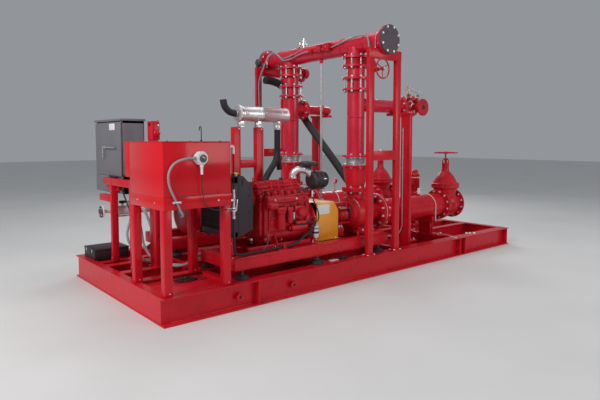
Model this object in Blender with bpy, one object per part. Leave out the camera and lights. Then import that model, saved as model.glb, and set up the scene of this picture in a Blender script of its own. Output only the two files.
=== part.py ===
"""Fire pump package on a steel skid: a diesel driven pump and an electric one under a shared header.

The skid lies along X and stands on Z = 0, with the origin under its middle. The diesel set is on the
near side (negative Y) and the electric set mirrors it on the far side. Lengths are in metres.
"""

from math import cos, pi, sin

import bmesh
import bpy
from mathutils import Matrix, Vector

GAP = 0.0003
NEAR = -1
FAR = 1
SIDE_NAMES = {NEAR: "near", FAR: "far"}

# Skid
SKID_LENGTH = 5.82
SKID_WIDTH = 2.33
BEAM_HEIGHT = 0.25
SIDE_FLANGE = 0.15
END_FLANGE = 0.09
FLANGE_THICK = 0.012
WEB_THICK = 0.010
HALF_X = SKID_LENGTH / 2
HALF_Y = SKID_WIDTH / 2
INNER_BEAM_Y = 0.41
INNER_FLANGE = 0.10
CROSS_X = (-2.11, -0.86, 0.39, 1.64)
CROSS_WIDTH = 0.07
RIB_X = (-1.90, 1.59, 1.71)
BOSS_X = (-2.11, -1.44)

# Pump lines, one on each side
LINE_Y = 0.645
RISER_X = -0.02
PIPE_R = 0.1095
FLANGE_R = 0.17
PLATE = 0.026
PUMP_AXIS_Z = 0.69
SUCTION_Z = 0.665
SUCTION_R = 0.162
SUCTION_FLANGE_R = 0.222
SUCTION_X = 0.35
JOINT_R = 0.225
JOINT_PLATE = 0.04
SADDLE_X = (0.85, 1.475)
GATE_X = 1.945
GATE_HALF = 0.18
BASE_TOP = 0.465
BASE_BOTTOM = 0.335
PLATE_TOP = 0.475
BASE_X = (-2.10, 0.16)
BASE_Y = (0.315, 1.035)
FOOT_X = (-2.01, -1.01, -0.01)
SILL_X = (-1.55, -1.0, -0.44, 0.11)
DRIVE_FACE = -0.90
STAND_POST_X = (-1.575, -1.262)
SILENCER_X = (-1.561, -0.845)
SILENCER_Y = -0.265
EXHAUST_X = -0.979
RADIATOR_BOTTOM = 0.66
FILTER_X = -0.96
FILTER_Y = -0.935
FILTER_INLET = -1.03
MOTOR_START = -1.80

# Heights of the faces along a riser
REDUCER_TOP = 1.306
BELLOWS_TOP = 1.404
BRANCH_Z = 2.065
BRANCH_R = 0.084
WAFER_BOTTOM = 2.553
WAFER_TOP = 2.634
HEADER_Z = 2.80
HEADER_END = HALF_Y - 0.0003
BOX_REACH = 0.20
BOX_Y = (-0.08, 0.09)

# Operators
WHEEL_X = 0.235
WHEEL_Y = 0.86
WHEEL_Z = 2.515
GATE_WHEEL_Z = 1.432

# Portals
PORTAL_Y = 1.11
PORTAL_POST_X = (-0.265, 0.215)
PORTAL_TOP = 2.6902

# Fuel tank
TANK_LOW = (-2.88, -1.136, 1.02)
TANK_HIGH = (-2.202, -0.42, 1.604)
TRAY_TOP = 1.12
GAUGE_X = -2.53
GAUGE_Z = 1.455
GAUGE_GLAND_Y = 0.04
GAUGE_REACH = 0.095
GAUGE_DROP = 0.145
TANK_WALL = 0.006
LEG = 0.08

# Controller cabinet
CABINET_LOW = (-2.627, 0.36, 1.02)
CABINET_HIGH = (-2.38, 1.15, 1.84)
CABINET_WALL = 0.012
CABINET_RETURN = 0.03
DOOR_GAP = 0.006
DOOR_LOW_Z = 1.215
STAND_X = (-2.71, -2.6353)
STAND_Y = ((0.510, 0.565), (-0.045, 0.030))
STAND_BEAM_Y = 0.59

RED = (0.52, 0.018, 0.022)
BLACK = (0.012, 0.011, 0.013)
GREY = (0.20, 0.20, 0.21)
DARK_GREY = (0.075, 0.065, 0.075)
STEEL = (0.62, 0.60, 0.60)
YELLOW = (0.80, 0.42, 0.02)
CONDUIT = (0.42, 0.42, 0.44)
RUBBER = (0.02, 0.02, 0.022)
LOOKS = {
    "red": (RED, 0.30, 0.0),
    "black": (BLACK, 0.50, 0.0),
    "grey": (GREY, 0.45, 0.0),
    "dark_grey": (DARK_GREY, 0.45, 0.3),
    "steel": (STEEL, 0.30, 1.0),
    "yellow": (YELLOW, 0.40, 0.0),
    "conduit": (CONDUIT, 0.45, 0.0),
    "rubber": (RUBBER, 0.60, 0.0),
}


# Shapes: each returns a closed mesh object that is still to be joined into a part

def keep(mesh_builder, label="shape"):
    mesh = bpy.data.meshes.new(label)
    bmesh.ops.recalc_face_normals(mesh_builder, faces=mesh_builder.faces)
    mesh_builder.to_mesh(mesh)
    mesh_builder.free()
    shape = bpy.data.objects.new(label, mesh)
    bpy.context.scene.collection.objects.link(shape)
    return shape


def box(low, high):
    builder = bmesh.new()
    bmesh.ops.create_cube(builder, size=1.0)
    low, high = Vector(low), Vector(high)
    for corner in builder.verts:
        for axis in range(3):
            corner.co[axis] = low[axis] + (corner.co[axis] + 0.5) * (high[axis] - low[axis])
    return keep(builder)


def bar(centre, size):
    centre, half = Vector(centre), Vector(size) / 2
    return box(centre - half, centre + half)


def prism(outline, axis, low, high):
    """Extrude a closed outline; its two coordinates are the axes that follow the given one."""
    builder = bmesh.new()
    first, second = (axis + 1) % 3, (axis + 2) % 3
    corners = []
    for u, v in outline:
        place = [0.0, 0.0, 0.0]
        place[axis], place[first], place[second] = low, u, v
        corners.append(builder.verts.new(place))
    face = builder.faces.new(corners)
    moved = bmesh.ops.extrude_face_region(builder, geom=[face])["geom"]
    shift = Vector((0, 0, 0))
    shift[axis] = high - low
    bmesh.ops.translate(builder, vec=shift, verts=[v for v in moved if isinstance(v, bmesh.types.BMVert)])
    return keep(builder)


def turned(profile, centre, direction, sides=24):
    """Spin a profile of (radius, distance) points; the ends are closed onto the axis."""
    builder = bmesh.new()
    points = [(0.0, profile[0][1])] + list(profile) + [(0.0, profile[-1][1])]
    chain = [builder.verts.new((radius, 0, along)) for radius, along in points]
    edges = [builder.edges.new(pair) for pair in zip(chain, chain[1:])]
    bmesh.ops.spin(builder, geom=chain + edges, cent=(0, 0, 0), axis=(0, 0, 1), angle=2 * pi,
                   steps=sides, use_merge=True)
    bmesh.ops.remove_doubles(builder, verts=builder.verts, dist=0.00001)
    turn = Vector(direction).to_track_quat("Z", "Y").to_matrix().to_4x4()
    bmesh.ops.transform(builder, matrix=Matrix.Translation(centre) @ turn, verts=builder.verts)
    return keep(builder)


def rod(start, end, radius, sides=16):
    start, end = Vector(start), Vector(end)
    length = (end - start).length
    return turned([(radius, 0), (radius, length)], start, end - start, sides)


def ring(centre, direction, major, minor, sides=24, tube_sides=8):
    builder = bmesh.new()
    chain = []
    for step in range(tube_sides):
        angle = 2 * pi * step / tube_sides
        chain.append(builder.verts.new((major + minor * cos(angle), 0, minor * sin(angle))))
    edges = [builder.edges.new((chain[i], chain[(i + 1) % tube_sides])) for i in range(tube_sides)]
    bmesh.ops.spin(builder, geom=chain + edges, cent=(0, 0, 0), axis=(0, 0, 1), angle=2 * pi,
                   steps=sides, use_merge=True)
    turn = Vector(direction).to_track_quat("Z", "Y").to_matrix().to_4x4()
    bmesh.ops.transform(builder, matrix=Matrix.Translation(centre) @ turn, verts=builder.verts)
    return keep(builder)


def smooth_route(points, steps):
    """A smooth curve through the given points, with the same number of steps between each pair."""
    ends = [2 * points[0] - points[1]] + list(points) + [2 * points[-1] - points[-2]]
    route = []
    for i in range(1, len(ends) - 2):
        before, here, there, after = ends[i - 1:i + 3]
        for step in range(steps):
            t = step / steps
            route.append(0.5 * (2 * here + (there - before) * t
                                + (2 * before - 5 * here + 4 * there - after) * t * t
                                + (3 * here - before - 3 * there + after) * t ** 3))
    route.append(ends[-2])
    return route


def pipe(points, radius, resolution=4, steps=5):
    """A round tube that is swept along a smooth route through the given points."""
    curve = bpy.data.curves.new("route", "CURVE")
    curve.dimensions = "3D"
    curve.bevel_depth = radius
    curve.bevel_resolution = resolution
    curve.use_fill_caps = True
    route = smooth_route([Vector(point) for point in points], steps)
    spline = curve.splines.new("POLY")
    spline.points.add(len(route) - 1)
    for target, place in zip(spline.points, route):
        target.co = (*place, 1)
    source = bpy.data.objects.new("route", curve)
    bpy.context.scene.collection.objects.link(source)
    mesh = evaluated_mesh(source)
    bpy.data.objects.remove(source)
    builder = bmesh.new()
    builder.from_mesh(mesh)
    bmesh.ops.remove_doubles(builder, verts=builder.verts, dist=0.000001)
    return keep(builder)


def loft(sections):
    """Bridge round sections of (centre, radius) along X."""
    builder = bmesh.new()
    sides = 24
    rings = []
    for centre, radius in sections:
        loop = []
        for step in range(sides):
            angle = 2 * pi * step / sides
            corner = Vector((0, radius * cos(angle), radius * sin(angle)))
            loop.append(builder.verts.new(Vector(centre) + corner))
        rings.append(loop)
    for here, there in zip(rings, rings[1:]):
        for i in range(sides):
            j = (i + 1) % sides
            builder.faces.new((here[i], here[j], there[j], there[i]))
    builder.faces.new(rings[0])
    builder.faces.new(rings[-1])
    return keep(builder)


def i_section(width, height=BEAM_HEIGHT, bottom=0.0):
    """Outline of a rolled beam about its middle, from the bottom up."""
    half, web = width / 2, WEB_THICK / 2
    low, high = bottom, bottom + height
    return [(-half, low), (half, low), (half, low + FLANGE_THICK), (web, low + FLANGE_THICK),
            (web, high - FLANGE_THICK), (half, high - FLANGE_THICK), (half, high), (-half, high),
            (-half, high - FLANGE_THICK), (-web, high - FLANGE_THICK), (-web, low + FLANGE_THICK),
            (-half, low + FLANGE_THICK)]


# Parts: shapes joined into one named solid

def evaluated_mesh(shape):
    bpy.context.view_layer.update()
    graph = bpy.context.evaluated_depsgraph_get()
    return bpy.data.meshes.new_from_object(shape.evaluated_get(graph))


def boolean(shape, others, operation):
    """Apply one exact Boolean of the shape with all the others, which are then removed."""
    group = bpy.data.collections.new("operands")
    for other in others:
        group.objects.link(other)
    modifier = shape.modifiers.new(operation, "BOOLEAN")
    modifier.operation = operation
    modifier.operand_type = "COLLECTION"
    modifier.collection = group
    modifier.solver = "EXACT"
    mesh = evaluated_mesh(shape)
    shape.modifiers.clear()
    shape.data = mesh
    for other in others:
        bpy.data.objects.remove(other)
    bpy.data.collections.remove(group)


def material(look):
    found = bpy.data.materials.get(look)
    if found:
        return found
    colour, roughness, metallic = LOOKS[look]
    made = bpy.data.materials.new(look)
    made.use_nodes = True
    shader = made.node_tree.nodes["Principled BSDF"]
    shader.inputs["Base Color"].default_value = (*colour, 1)
    shader.inputs["Roughness"].default_value = roughness
    shader.inputs["Metallic"].default_value = metallic
    return made


def part(name, look, shapes, cuts=(), origin=(0, 0, 0), parent=None):
    body = shapes[0]
    if len(shapes) > 1:
        boolean(body, shapes[1:], "UNION")
    if cuts:
        boolean(body, list(cuts), "DIFFERENCE")
    builder = bmesh.new()
    builder.from_mesh(body.data)
    bmesh.ops.remove_doubles(builder, verts=builder.verts, dist=0.00001)
    bmesh.ops.dissolve_limit(builder, angle_limit=0.001, verts=builder.verts, edges=builder.edges)
    bmesh.ops.translate(builder, vec=-Vector(origin), verts=builder.verts)
    mesh = bpy.data.meshes.new(name)
    builder.to_mesh(mesh)
    builder.free()
    mesh.shade_smooth()
    mesh.set_sharp_from_angle(angle=0.6)
    mesh.materials.clear()
    mesh.materials.append(material(look))
    body.data = mesh
    body.name = name
    body.location = origin
    if parent:
        body.parent = parent
        body.location = Vector(origin) - parent.location
    return body


# Skid

def side_beam(side):
    middle = side * (HALF_Y - SIDE_FLANGE / 2)
    outer = side * (HALF_Y - 0.001)
    reach = HALF_X - END_FLANGE - GAP
    outline = [(middle + y, z) for y, z in i_section(SIDE_FLANGE)]
    shapes = [prism(outline, 0, -reach, reach)]
    for x in RIB_X:
        low, high = sorted((middle, outer))
        shapes.append(box((x - 0.006, low, 0.006), (x + 0.006, high, BEAM_HEIGHT - 0.006)))
    for x in BOSS_X:
        shapes.append(rod((x, middle, 0.115), (x, outer - side * 0.03, 0.115), 0.032, 12))
    part(f"skid_beam_{SIDE_NAMES[side]}", "red", shapes)


def end_beam_rear():
    middle = HALF_X - END_FLANGE / 2
    inner = HALF_X - END_FLANGE + 0.001
    outline = [(z, middle + x) for x, z in i_section(END_FLANGE)]
    shapes = [prism(outline, 1, -HALF_Y, HALF_Y)]
    for side in (NEAR, FAR):
        y = side * (HALF_Y - SIDE_FLANGE / 2)
        shapes.append(box((inner, y - 0.006, 0.006), (middle, y + 0.006, BEAM_HEIGHT - 0.006)))
    part("skid_end_rear", "red", shapes)


def end_beam_front():
    """Channel with its web outside, closed at both ends in line with the side beams' webs."""
    outer, inner = -HALF_X, -HALF_X + END_FLANGE
    web = outer + 0.005
    end_y = HALF_Y - SIDE_FLANGE / 2 + WEB_THICK / 2
    sunk = FLANGE_THICK / 2
    shapes = []
    for low, high in ((0, FLANGE_THICK), (BEAM_HEIGHT - FLANGE_THICK, BEAM_HEIGHT)):
        shapes.append(box((outer, -HALF_Y, low), (inner, HALF_Y, high)))
    shapes.append(box((web, -end_y, sunk), (web + WEB_THICK, end_y, BEAM_HEIGHT - sunk)))
    for side in (NEAR, FAR):
        low, high = sorted((side * end_y, side * (end_y - WEB_THICK)))
        shapes.append(box((web, low, sunk), (inner - 0.001, high, BEAM_HEIGHT - sunk)))
    part("skid_end_front", "red", shapes)


def inner_frame():
    reach = HALF_X - END_FLANGE - GAP
    shapes = []
    for y in (-INNER_BEAM_Y, 0, INNER_BEAM_Y):
        outline = [(y + u, z) for u, z in i_section(INNER_FLANGE)]
        shapes.append(prism(outline, 0, -reach, reach))
    span = HALF_Y - SIDE_FLANGE - GAP
    for x in CROSS_X:
        shapes.append(box((x - CROSS_WIDTH / 2, -span, 0.004), (x + CROSS_WIDTH / 2, span, 0.246)))
    front_reach = CROSS_X[0] - 0.01
    outline = [(STAND_BEAM_Y + u, z) for u, z in i_section(INNER_FLANGE)]
    shapes.append(prism(outline, 0, -reach, front_reach))
    shapes.append(box((-reach, -span, 0.205), (front_reach, -INNER_BEAM_Y, 0.213)))
    part("skid_inner_frame", "red", shapes)


def pump_base(side):
    """Channel frame on rubber feet, with a sill every half metre under the driver and the pump."""
    y_low, y_high = BASE_Y
    shapes = []
    for y in (y_low + 0.06, y_high - 0.06):
        shapes.append(bar(((BASE_X[0] + BASE_X[1]) / 2, side * y, (BASE_BOTTOM + BASE_TOP) / 2),
                          (BASE_X[1] - BASE_X[0], 0.12, BASE_TOP - BASE_BOTTOM)))
    for x in SILL_X:
        shapes.append(bar((x, side * (y_low + y_high) / 2, 0.387), (0.09, y_high - y_low - 0.02, 0.10)))
    shapes.append(bar((BASE_X[0] + 0.046, side * (y_low + y_high) / 2, (BASE_BOTTOM + BASE_TOP) / 2),
                      (0.09, y_high - y_low - 0.02, BASE_TOP - BASE_BOTTOM - 0.002)))
    for x in FOOT_X:
        for y in (y_low + 0.06, y_high - 0.015):
            foot = [(0.067, 0), (0.067, 0.014), (0.048, 0.024), (0.020, 0.034), (0.020, 0.090)]
            bottom = BEAM_HEIGHT + GAP
            shapes.append(turned(foot, (x, side * y, bottom), (0, 0, 1), 12))
    return shapes


# Pumps and their pipework

def flange(centre, direction, radius=FLANGE_R, thick=PLATE, sides=24):
    return turned([(radius, 0), (radius, thick)], centre, direction, sides)


def sole_plate(side, x_low, x_high, top):
    """Plate across both rails of a pump base."""
    low, high = sorted((side * (BASE_Y[0] + 0.01), side * (BASE_Y[1] - 0.01)))
    return box((x_low, low, BASE_TOP + GAP), (x_high, high, top))


def pump(side):
    y = side * LINE_Y
    z = PUMP_AXIS_Z
    start = DRIVE_FACE + GAP
    length = SUCTION_X - GAP - start
    middle = RISER_X - start
    shapes = [turned([(0.035, 0), (0.035, 0.06), (0.085, 0.062), (0.085, 0.20), (0.035, 0.202),
                      (0.035, 0.40), (0.10, 0.42), (0.10, middle - 0.20), (0.17, middle - 0.16),
                      (0.225, middle - 0.10), (0.225, middle + 0.10), (0.17, middle + 0.16),
                      (0.13, middle + 0.20), (0.13, length - JOINT_PLATE), (JOINT_R, length - JOINT_PLATE),
                      (JOINT_R, length)],
                     (start, y, z), (1, 0, 0), 24)]
    shapes.append(turned([(0.155, 0), (0.115, 0.12), (0.105, 0.24)], (RISER_X, y, 0.74), (0, 0, 1)))
    shapes.append(flange((RISER_X, y, 0.97), (0, 0, 1), thick=2 * PLATE))
    shapes.append(turned([(0.115, 0), (0.125, 0.06), (0.15, 0.20), (0.15, 0.27)], (RISER_X, y, 1.015),
                         (0, 0, 1)))
    shapes.append(flange((RISER_X, y, REDUCER_TOP - PLATE), (0, 0, 1)))
    shapes.append(sole_plate(side, RISER_X - 0.12, RISER_X + 0.12, 0.50))
    part(f"pump_{SIDE_NAMES[side]}", "red", shapes)


def bellows(side):
    y = side * LINE_Y
    low = REDUCER_TOP + GAP
    height = BELLOWS_TOP - REDUCER_TOP - 2 * GAP
    waves = 4
    profile = [(0.112, 0)]
    for wave in range(waves):
        start = height * (0.08 + 0.84 * wave / waves)
        step = height * 0.84 / waves
        profile += [(0.112, start), (0.132, start + step * 0.3), (0.132, start + step * 0.7)]
    profile += [(0.112, height * 0.92), (0.112, height)]
    part(f"bellows_{SIDE_NAMES[side]}", "steel", [turned(profile, (RISER_X, y, low), (0, 0, 1), 16)])


def riser(side, branch_end):
    y = side * LINE_Y
    low = BELLOWS_TOP
    shapes = [rod((RISER_X, y, low + 0.01), (RISER_X, y, WAFER_BOTTOM - GAP - 0.01), PIPE_R, 24)]
    for z in (low, 2.237, 2.374, WAFER_BOTTOM - GAP - PLATE):
        shapes.append(flange((RISER_X, y, z), (0, 0, 1)))
    shapes.append(rod((RISER_X, y, BRANCH_Z), (branch_end - 0.01, y, BRANCH_Z), BRANCH_R, 20))
    shapes.append(flange((branch_end - PLATE, y, BRANCH_Z), (1, 0, 0), 0.14))
    part(f"riser_{SIDE_NAMES[side]}", "red", shapes)


def butterfly_valve(side):
    """Wafer body between the flanges, with its gearbox on a neck towards +X."""
    y = side * LINE_Y
    bottom = WAFER_BOTTOM
    middle = (WAFER_BOTTOM + WAFER_TOP) / 2
    shapes = [turned([(0.135, 0), (0.135, WAFER_TOP - WAFER_BOTTOM - GAP)], (RISER_X, y, bottom), (0, 0, 1))]
    shapes.append(rod((RISER_X + 0.1, y, middle), (0.21, y, middle), 0.032, 12))
    shapes.append(turned([(0.05, 0), (0.075, 0.012), (0.075, 0.075), (0.045, 0.095)], (0.19, y, middle),
                         (1, 0, 0), 16))
    shapes.append(turned([(0.035, 0), (0.035, 0.06), (0.024, 0.075), (0.024, 0.12)],
                         (WHEEL_X, y + side * 0.03, WHEEL_Z), (0, side, 0), 12))
    shapes.append(bar((WHEEL_X, y + side * 0.02, (middle + WHEEL_Z) / 2), (0.06, 0.05, 0.09)))
    return part(f"butterfly_valve_{SIDE_NAMES[side]}", "red", shapes, origin=(RISER_X, y, middle))


def handwheel_shapes(centre, direction, radius, rim, hub_radius, shaft_length, spokes=3):
    """Rim, spokes and hub in the plane across the direction, with a shaft behind the hub."""
    turn = Vector(direction).to_track_quat("Z", "Y")
    centre = Vector(centre)
    shapes = [ring(centre, direction, radius - rim, rim, 20, 6)]
    back = centre - Vector(direction) * shaft_length
    shapes.append(turned([(0.012, 0), (0.012, shaft_length - 0.02), (hub_radius, shaft_length - 0.018),
                          (hub_radius, shaft_length + 0.018)], back, direction, 12))
    for spoke in range(spokes):
        angle = 2 * pi * spoke / spokes + pi / 6
        outward = turn @ Vector((cos(angle), sin(angle), 0))
        shapes.append(rod(centre, centre + outward * (radius - rim), rim * 0.75, 8))
    return shapes


def butterfly_handwheel(side, valve):
    centre = (WHEEL_X, side * WHEEL_Y, WHEEL_Z)
    shaft = WHEEL_Y - (LINE_Y + 0.15) - GAP
    shapes = handwheel_shapes(centre, (0, side, 0), 0.13, 0.009, 0.026, shaft)
    part(f"butterfly_handwheel_{SIDE_NAMES[side]}", "red", shapes, origin=centre, parent=valve)


def header():
    length = 2 * (HEADER_END - 0.001)
    shapes = [rod((RISER_X, -length / 2, HEADER_Z), (RISER_X, length / 2, HEADER_Z), PIPE_R, 24)]
    for side in (NEAR, FAR):
        y = side * LINE_Y
        shapes.append(flange((RISER_X, y, WAFER_TOP), (0, 0, 1)))
        shapes.append(rod((RISER_X, y, WAFER_TOP + 0.01), (RISER_X, y, HEADER_Z - 0.02), PIPE_R - 0.002, 24))
        shapes.append(flange((RISER_X, side * (HEADER_END - PLATE), HEADER_Z), (0, side, 0)))
    shapes.append(rod((RISER_X, 0, HEADER_Z - 0.15), (RISER_X, 0, HEADER_Z), 0.026, 12))
    part("header", "red", shapes)
    for side in (NEAR, FAR):
        start = (RISER_X, side * (HEADER_END + GAP), HEADER_Z)
        shapes = [flange(start, (0, side, 0), thick=0.03)]
        part(f"blind_flange_{SIDE_NAMES[side]}", "dark_grey", shapes)


def drain_pipe():
    top = HEADER_Z - 0.15 - GAP
    shapes = [rod((RISER_X, 0, BEAM_HEIGHT + GAP), (RISER_X, 0, top), 0.015, 12)]
    for z in (2.02, BEAM_HEIGHT + GAP):
        shapes.append(rod((RISER_X, 0, z), (RISER_X, 0, z + 0.05), 0.022, 12))
    part("drain_pipe", "steel", shapes)


def suction_line(side):
    y = side * LINE_Y
    start = SUCTION_X
    shapes = [flange((start, y, PUMP_AXIS_Z), (1, 0, 0), JOINT_R, JOINT_PLATE)]
    shapes.append(loft([((start + 0.01, y, PUMP_AXIS_Z), 0.122), ((start + 0.08, y, PUMP_AXIS_Z), 0.122),
                        ((start + 0.30, y, SUCTION_Z), SUCTION_R),
                        ((GATE_X - GATE_HALF - 0.01, y, SUCTION_Z), SUCTION_R)]))
    shapes.append(flange((GATE_X - GATE_HALF - PLATE - GAP, y, SUCTION_Z), (1, 0, 0), SUCTION_FLANGE_R))
    for x in SADDLE_X:
        shapes.append(bar((x, y, 0.48), (0.10, 0.30, 0.09)))
        shapes.append(box((x - 0.035, y - 0.10, BEAM_HEIGHT + 0.02), (x + 0.035, y + 0.10, 0.47)))
        shapes.append(box((x - 0.06, y - 0.27, BEAM_HEIGHT + GAP), (x + 0.06, y + 0.27, BEAM_HEIGHT + 0.03)))
    part(f"suction_pipe_{SIDE_NAMES[side]}", "red", shapes)


def gate_valve(side):
    y = side * LINE_Y
    z = SUCTION_Z
    shapes = [turned([(SUCTION_FLANGE_R, 0), (SUCTION_FLANGE_R, PLATE), (0.172, PLATE + 0.004),
                      (0.172, 0.08), (0.195, 0.14), (0.195, 0.22), (0.172, 0.28),
                      (0.172, 2 * GATE_HALF - PLATE - 0.004), (SUCTION_FLANGE_R, 2 * GATE_HALF - PLATE),
                      (SUCTION_FLANGE_R, 2 * GATE_HALF)],
                     (GATE_X - GATE_HALF, y, z), (1, 0, 0))]
    shapes.append(turned([(0.155, 0), (0.165, 0.22), (0.205, 0.25), (0.205, 0.31), (0.165, 0.325),
                          (0.145, 0.39), (0.09, 0.47), (0.045, 0.52), (0.045, 0.56)],
                         (GATE_X, y, z), (0, 0, 1), 20))
    for arm in (-1, 1):
        shapes.append(box((GATE_X - 0.02, y + arm * 0.055 - 0.01, 1.15),
                          (GATE_X + 0.02, y + arm * 0.055 + 0.01, 1.33)))
    shapes.append(bar((GATE_X, y, 1.335), (0.06, 0.13, 0.03)))
    shapes.append(bar((GATE_X, y, 1.165), (0.05, 0.13, 0.03)))
    return part(f"gate_valve_{SIDE_NAMES[side]}", "red", shapes, origin=(GATE_X, y, z))


def gate_handwheel(side, valve):
    centre = (GATE_X, side * LINE_Y, GATE_WHEEL_Z)
    shaft = GATE_WHEEL_Z - 1.35 - GAP
    shapes = handwheel_shapes(centre, (0, 0, 1), 0.177, 0.010, 0.03, shaft, spokes=4)
    part(f"gate_handwheel_{SIDE_NAMES[side]}", "red", shapes, origin=centre, parent=valve)


def relief_valve_near(start):
    """Angle valve: inlet along X, outlet flange facing the near side, cover on top."""
    y = -LINE_Y
    x = start + GAP
    shapes = [turned([(0.14, 0), (0.14, PLATE), (0.09, PLATE + 0.01), (0.12, 0.12), (0.135, 0.20),
                      (0.12, 0.29), (0.07, 0.34)], (x, y, BRANCH_Z), (1, 0, 0))]
    shapes.append(turned([(0.09, 0), (0.10, 0.09), (0.135, 0.10), (0.135, 0.13), (0.09, 0.155),
                          (0.03, 0.165), (0.03, 0.19)], (x + 0.2, y, BRANCH_Z), (0, 0, 1)))
    shapes.append(turned([(0.085, 0), (0.07, 0.15), (0.07, 0.21), (0.115, 0.21), (0.115, 0.235)],
                         (x + 0.23, y, BRANCH_Z), (0, -1, 0)))
    part("relief_valve_near", "red", shapes)


def relief_valve_far(start):
    y = LINE_Y
    x = start + GAP
    shapes = [turned([(0.14, 0), (0.14, PLATE), (0.075, PLATE + 0.02), (0.062, 0.12), (0.062, 0.50),
                      (0.05, 0.53), (0.02, 0.545)], (x, y, BRANCH_Z), (1, 0, 0))]
    part("relief_valve_far", "red", shapes)


def branch_post(side, x, y, top):
    """Rectangular tube post outside the suction pipe, with a bracket that reaches in under the branch."""
    foot = FLANGE_THICK + GAP
    shapes = [box((x - 0.025, y - 0.075, foot + 0.01), (x + 0.025, y + 0.075, top - 0.03))]
    web_gap = WEB_THICK / 2 + GAP
    low, high = sorted((side * (HALF_Y - SIDE_FLANGE / 2 - web_gap), side * (INNER_BEAM_Y + web_gap)))
    shapes.append(box((x - 0.035, low, foot), (x + 0.035, high, foot + 0.07)))
    low, high = sorted((y + side * 0.09, side * (LINE_Y - 0.07)))
    shapes.append(box((x - 0.04, low, top - 0.035), (x + 0.04, high, top)))
    part(f"branch_post_{SIDE_NAMES[side]}", "red", shapes)


def portal(side):
    y = side * PORTAL_Y
    foot = BEAM_HEIGHT + GAP
    shapes = []
    for x in PORTAL_POST_X:
        shapes.append(box((x - 0.045, y - 0.025, foot), (x + 0.045, y + 0.025, PORTAL_TOP - 0.02)))
        shapes.append(box((x - 0.07, y - 0.05, foot), (x + 0.07, y + 0.05, foot + 0.012)))
    left, right = PORTAL_POST_X[0] - 0.047, PORTAL_POST_X[1] + 0.047
    shapes.append(box((left, y - 0.027, PORTAL_TOP - 0.12), (right, y + 0.027, PORTAL_TOP - GAP)))
    shapes.append(box((left + 0.004, y - 0.023, 1.377), (right - 0.004, y + 0.023, 1.494)))
    part(f"portal_{SIDE_NAMES[side]}", "red", shapes)


def jockey_pump():
    """Vertical multistage pump on its foot between the two suction lines."""
    profile = [(0.085, 0), (0.085, 0.02), (0.06, 0.03), (0.06, 0.12), (0.068, 0.13), (0.068, 0.48),
               (0.080, 0.49), (0.080, 0.53), (0.070, 0.54), (0.070, 0.76), (0.078, 0.77), (0.078, 0.82),
               (0.05, 0.84), (0.05, 0.88), (0.03, 0.90)]
    x, foot = 2.05, BEAM_HEIGHT + GAP
    shapes = [turned(profile, (x, 0, foot), (0, 0, 1), 16)]
    shapes.append(rod((x - 0.17, 0, foot + 0.09), (x + 0.17, 0, foot + 0.09), 0.03, 12))
    for end in (-0.17, 0.15):
        shapes.append(flange((x + end, 0, foot + 0.09), (1, 0, 0), 0.06, 0.02, 16))
    part("jockey_pump", "red", shapes)


def slanted_duct():
    """Black duct from under the far portal's top, down behind the risers to the near pump."""
    x = 0.30
    seat = PUMP_AXIS_Z + 0.13 + GAP
    route = [(-0.225, 1.0, 2.50), (-0.08, 1.0, 2.49), (0.08, 1.0, 2.44), (0.21, 0.96, 2.32),
             (0.29, 0.83, 2.10), (0.305, 0.70, 1.92), (x, 0.42, 1.655), (x, 0.05, 1.305), (x, -0.30, 0.97),
             (x, -0.40, 0.90)]
    shapes = [pipe(route, 0.055, 3, 2)]
    shapes.append(box((-0.19, 0.99, 2.475), (-0.14, PORTAL_Y - 0.025 - GAP, 2.525)))
    shapes.append(box((x - 0.09, -LINE_Y - 0.06, seat), (x - 0.005, -0.33, seat + 0.05)))
    part("slanted_duct", "black", shapes)


# Drivers

def diesel_engine():
    y = -LINE_Y
    low = BASE_TOP + GAP
    shapes = [box((-1.62, y - 0.22, 0.60), (-0.99, y + 0.22, 0.98))]
    shapes.append(box((-1.58, y - 0.13, low + 0.03), (-1.10, y + 0.13, 0.62)))
    shapes.append(box((-1.66, y - 0.16, 0.95), (-1.02, y + 0.14, 1.10)))
    shapes.append(box((-1.62, y - 0.11, 1.08), (-1.06, y + 0.10, 1.165)))
    shapes.append(box((-1.55, y - 0.27, 0.93), (-1.08, y - 0.10, 1.03)))
    shapes.append(box((-1.55, y + 0.10, 0.93), (-1.08, y + 0.26, 1.05)))
    shapes.append(turned([(0.21, 0), (0.235, 0.03), (0.235, 0.12)], (DRIVE_FACE - 0.12, y, PUMP_AXIS_Z),
                         (1, 0, 0)))
    shapes.append(turned([(0.13, 0), (0.13, 0.05), (0.05, 0.06), (0.05, 0.10)], (-1.64, y, 0.98), (-1, 0, 0)))
    shapes.append(turned([(0.09, 0), (0.09, 0.07)], (-1.60, y, 0.68), (-1, 0, 0), 20))
    for x in (-1.50, -0.97):
        shapes.append(sole_plate(NEAR, x - 0.05, x + 0.05, PLATE_TOP))
        for side in (-1, 1):
            shapes.append(box((x - 0.04, y + side * 0.20 - 0.02, PLATE_TOP - 0.005),
                              (x + 0.04, y + side * 0.20 + 0.02, 0.70)))
    shapes.append(rod((FILTER_X, FILTER_Y, 0.53), (FILTER_X, FILTER_Y, 0.70), 0.04, 16))
    shapes.append(rod((FILTER_INLET, FILTER_Y, 0.58), (FILTER_X, FILTER_Y, 0.58), 0.016, 10))
    shapes.append(box((FILTER_X - 0.02, FILTER_Y, 0.64), (FILTER_X + 0.02, y - 0.20, 0.68)))
    part("diesel_engine", "red", shapes)


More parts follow.
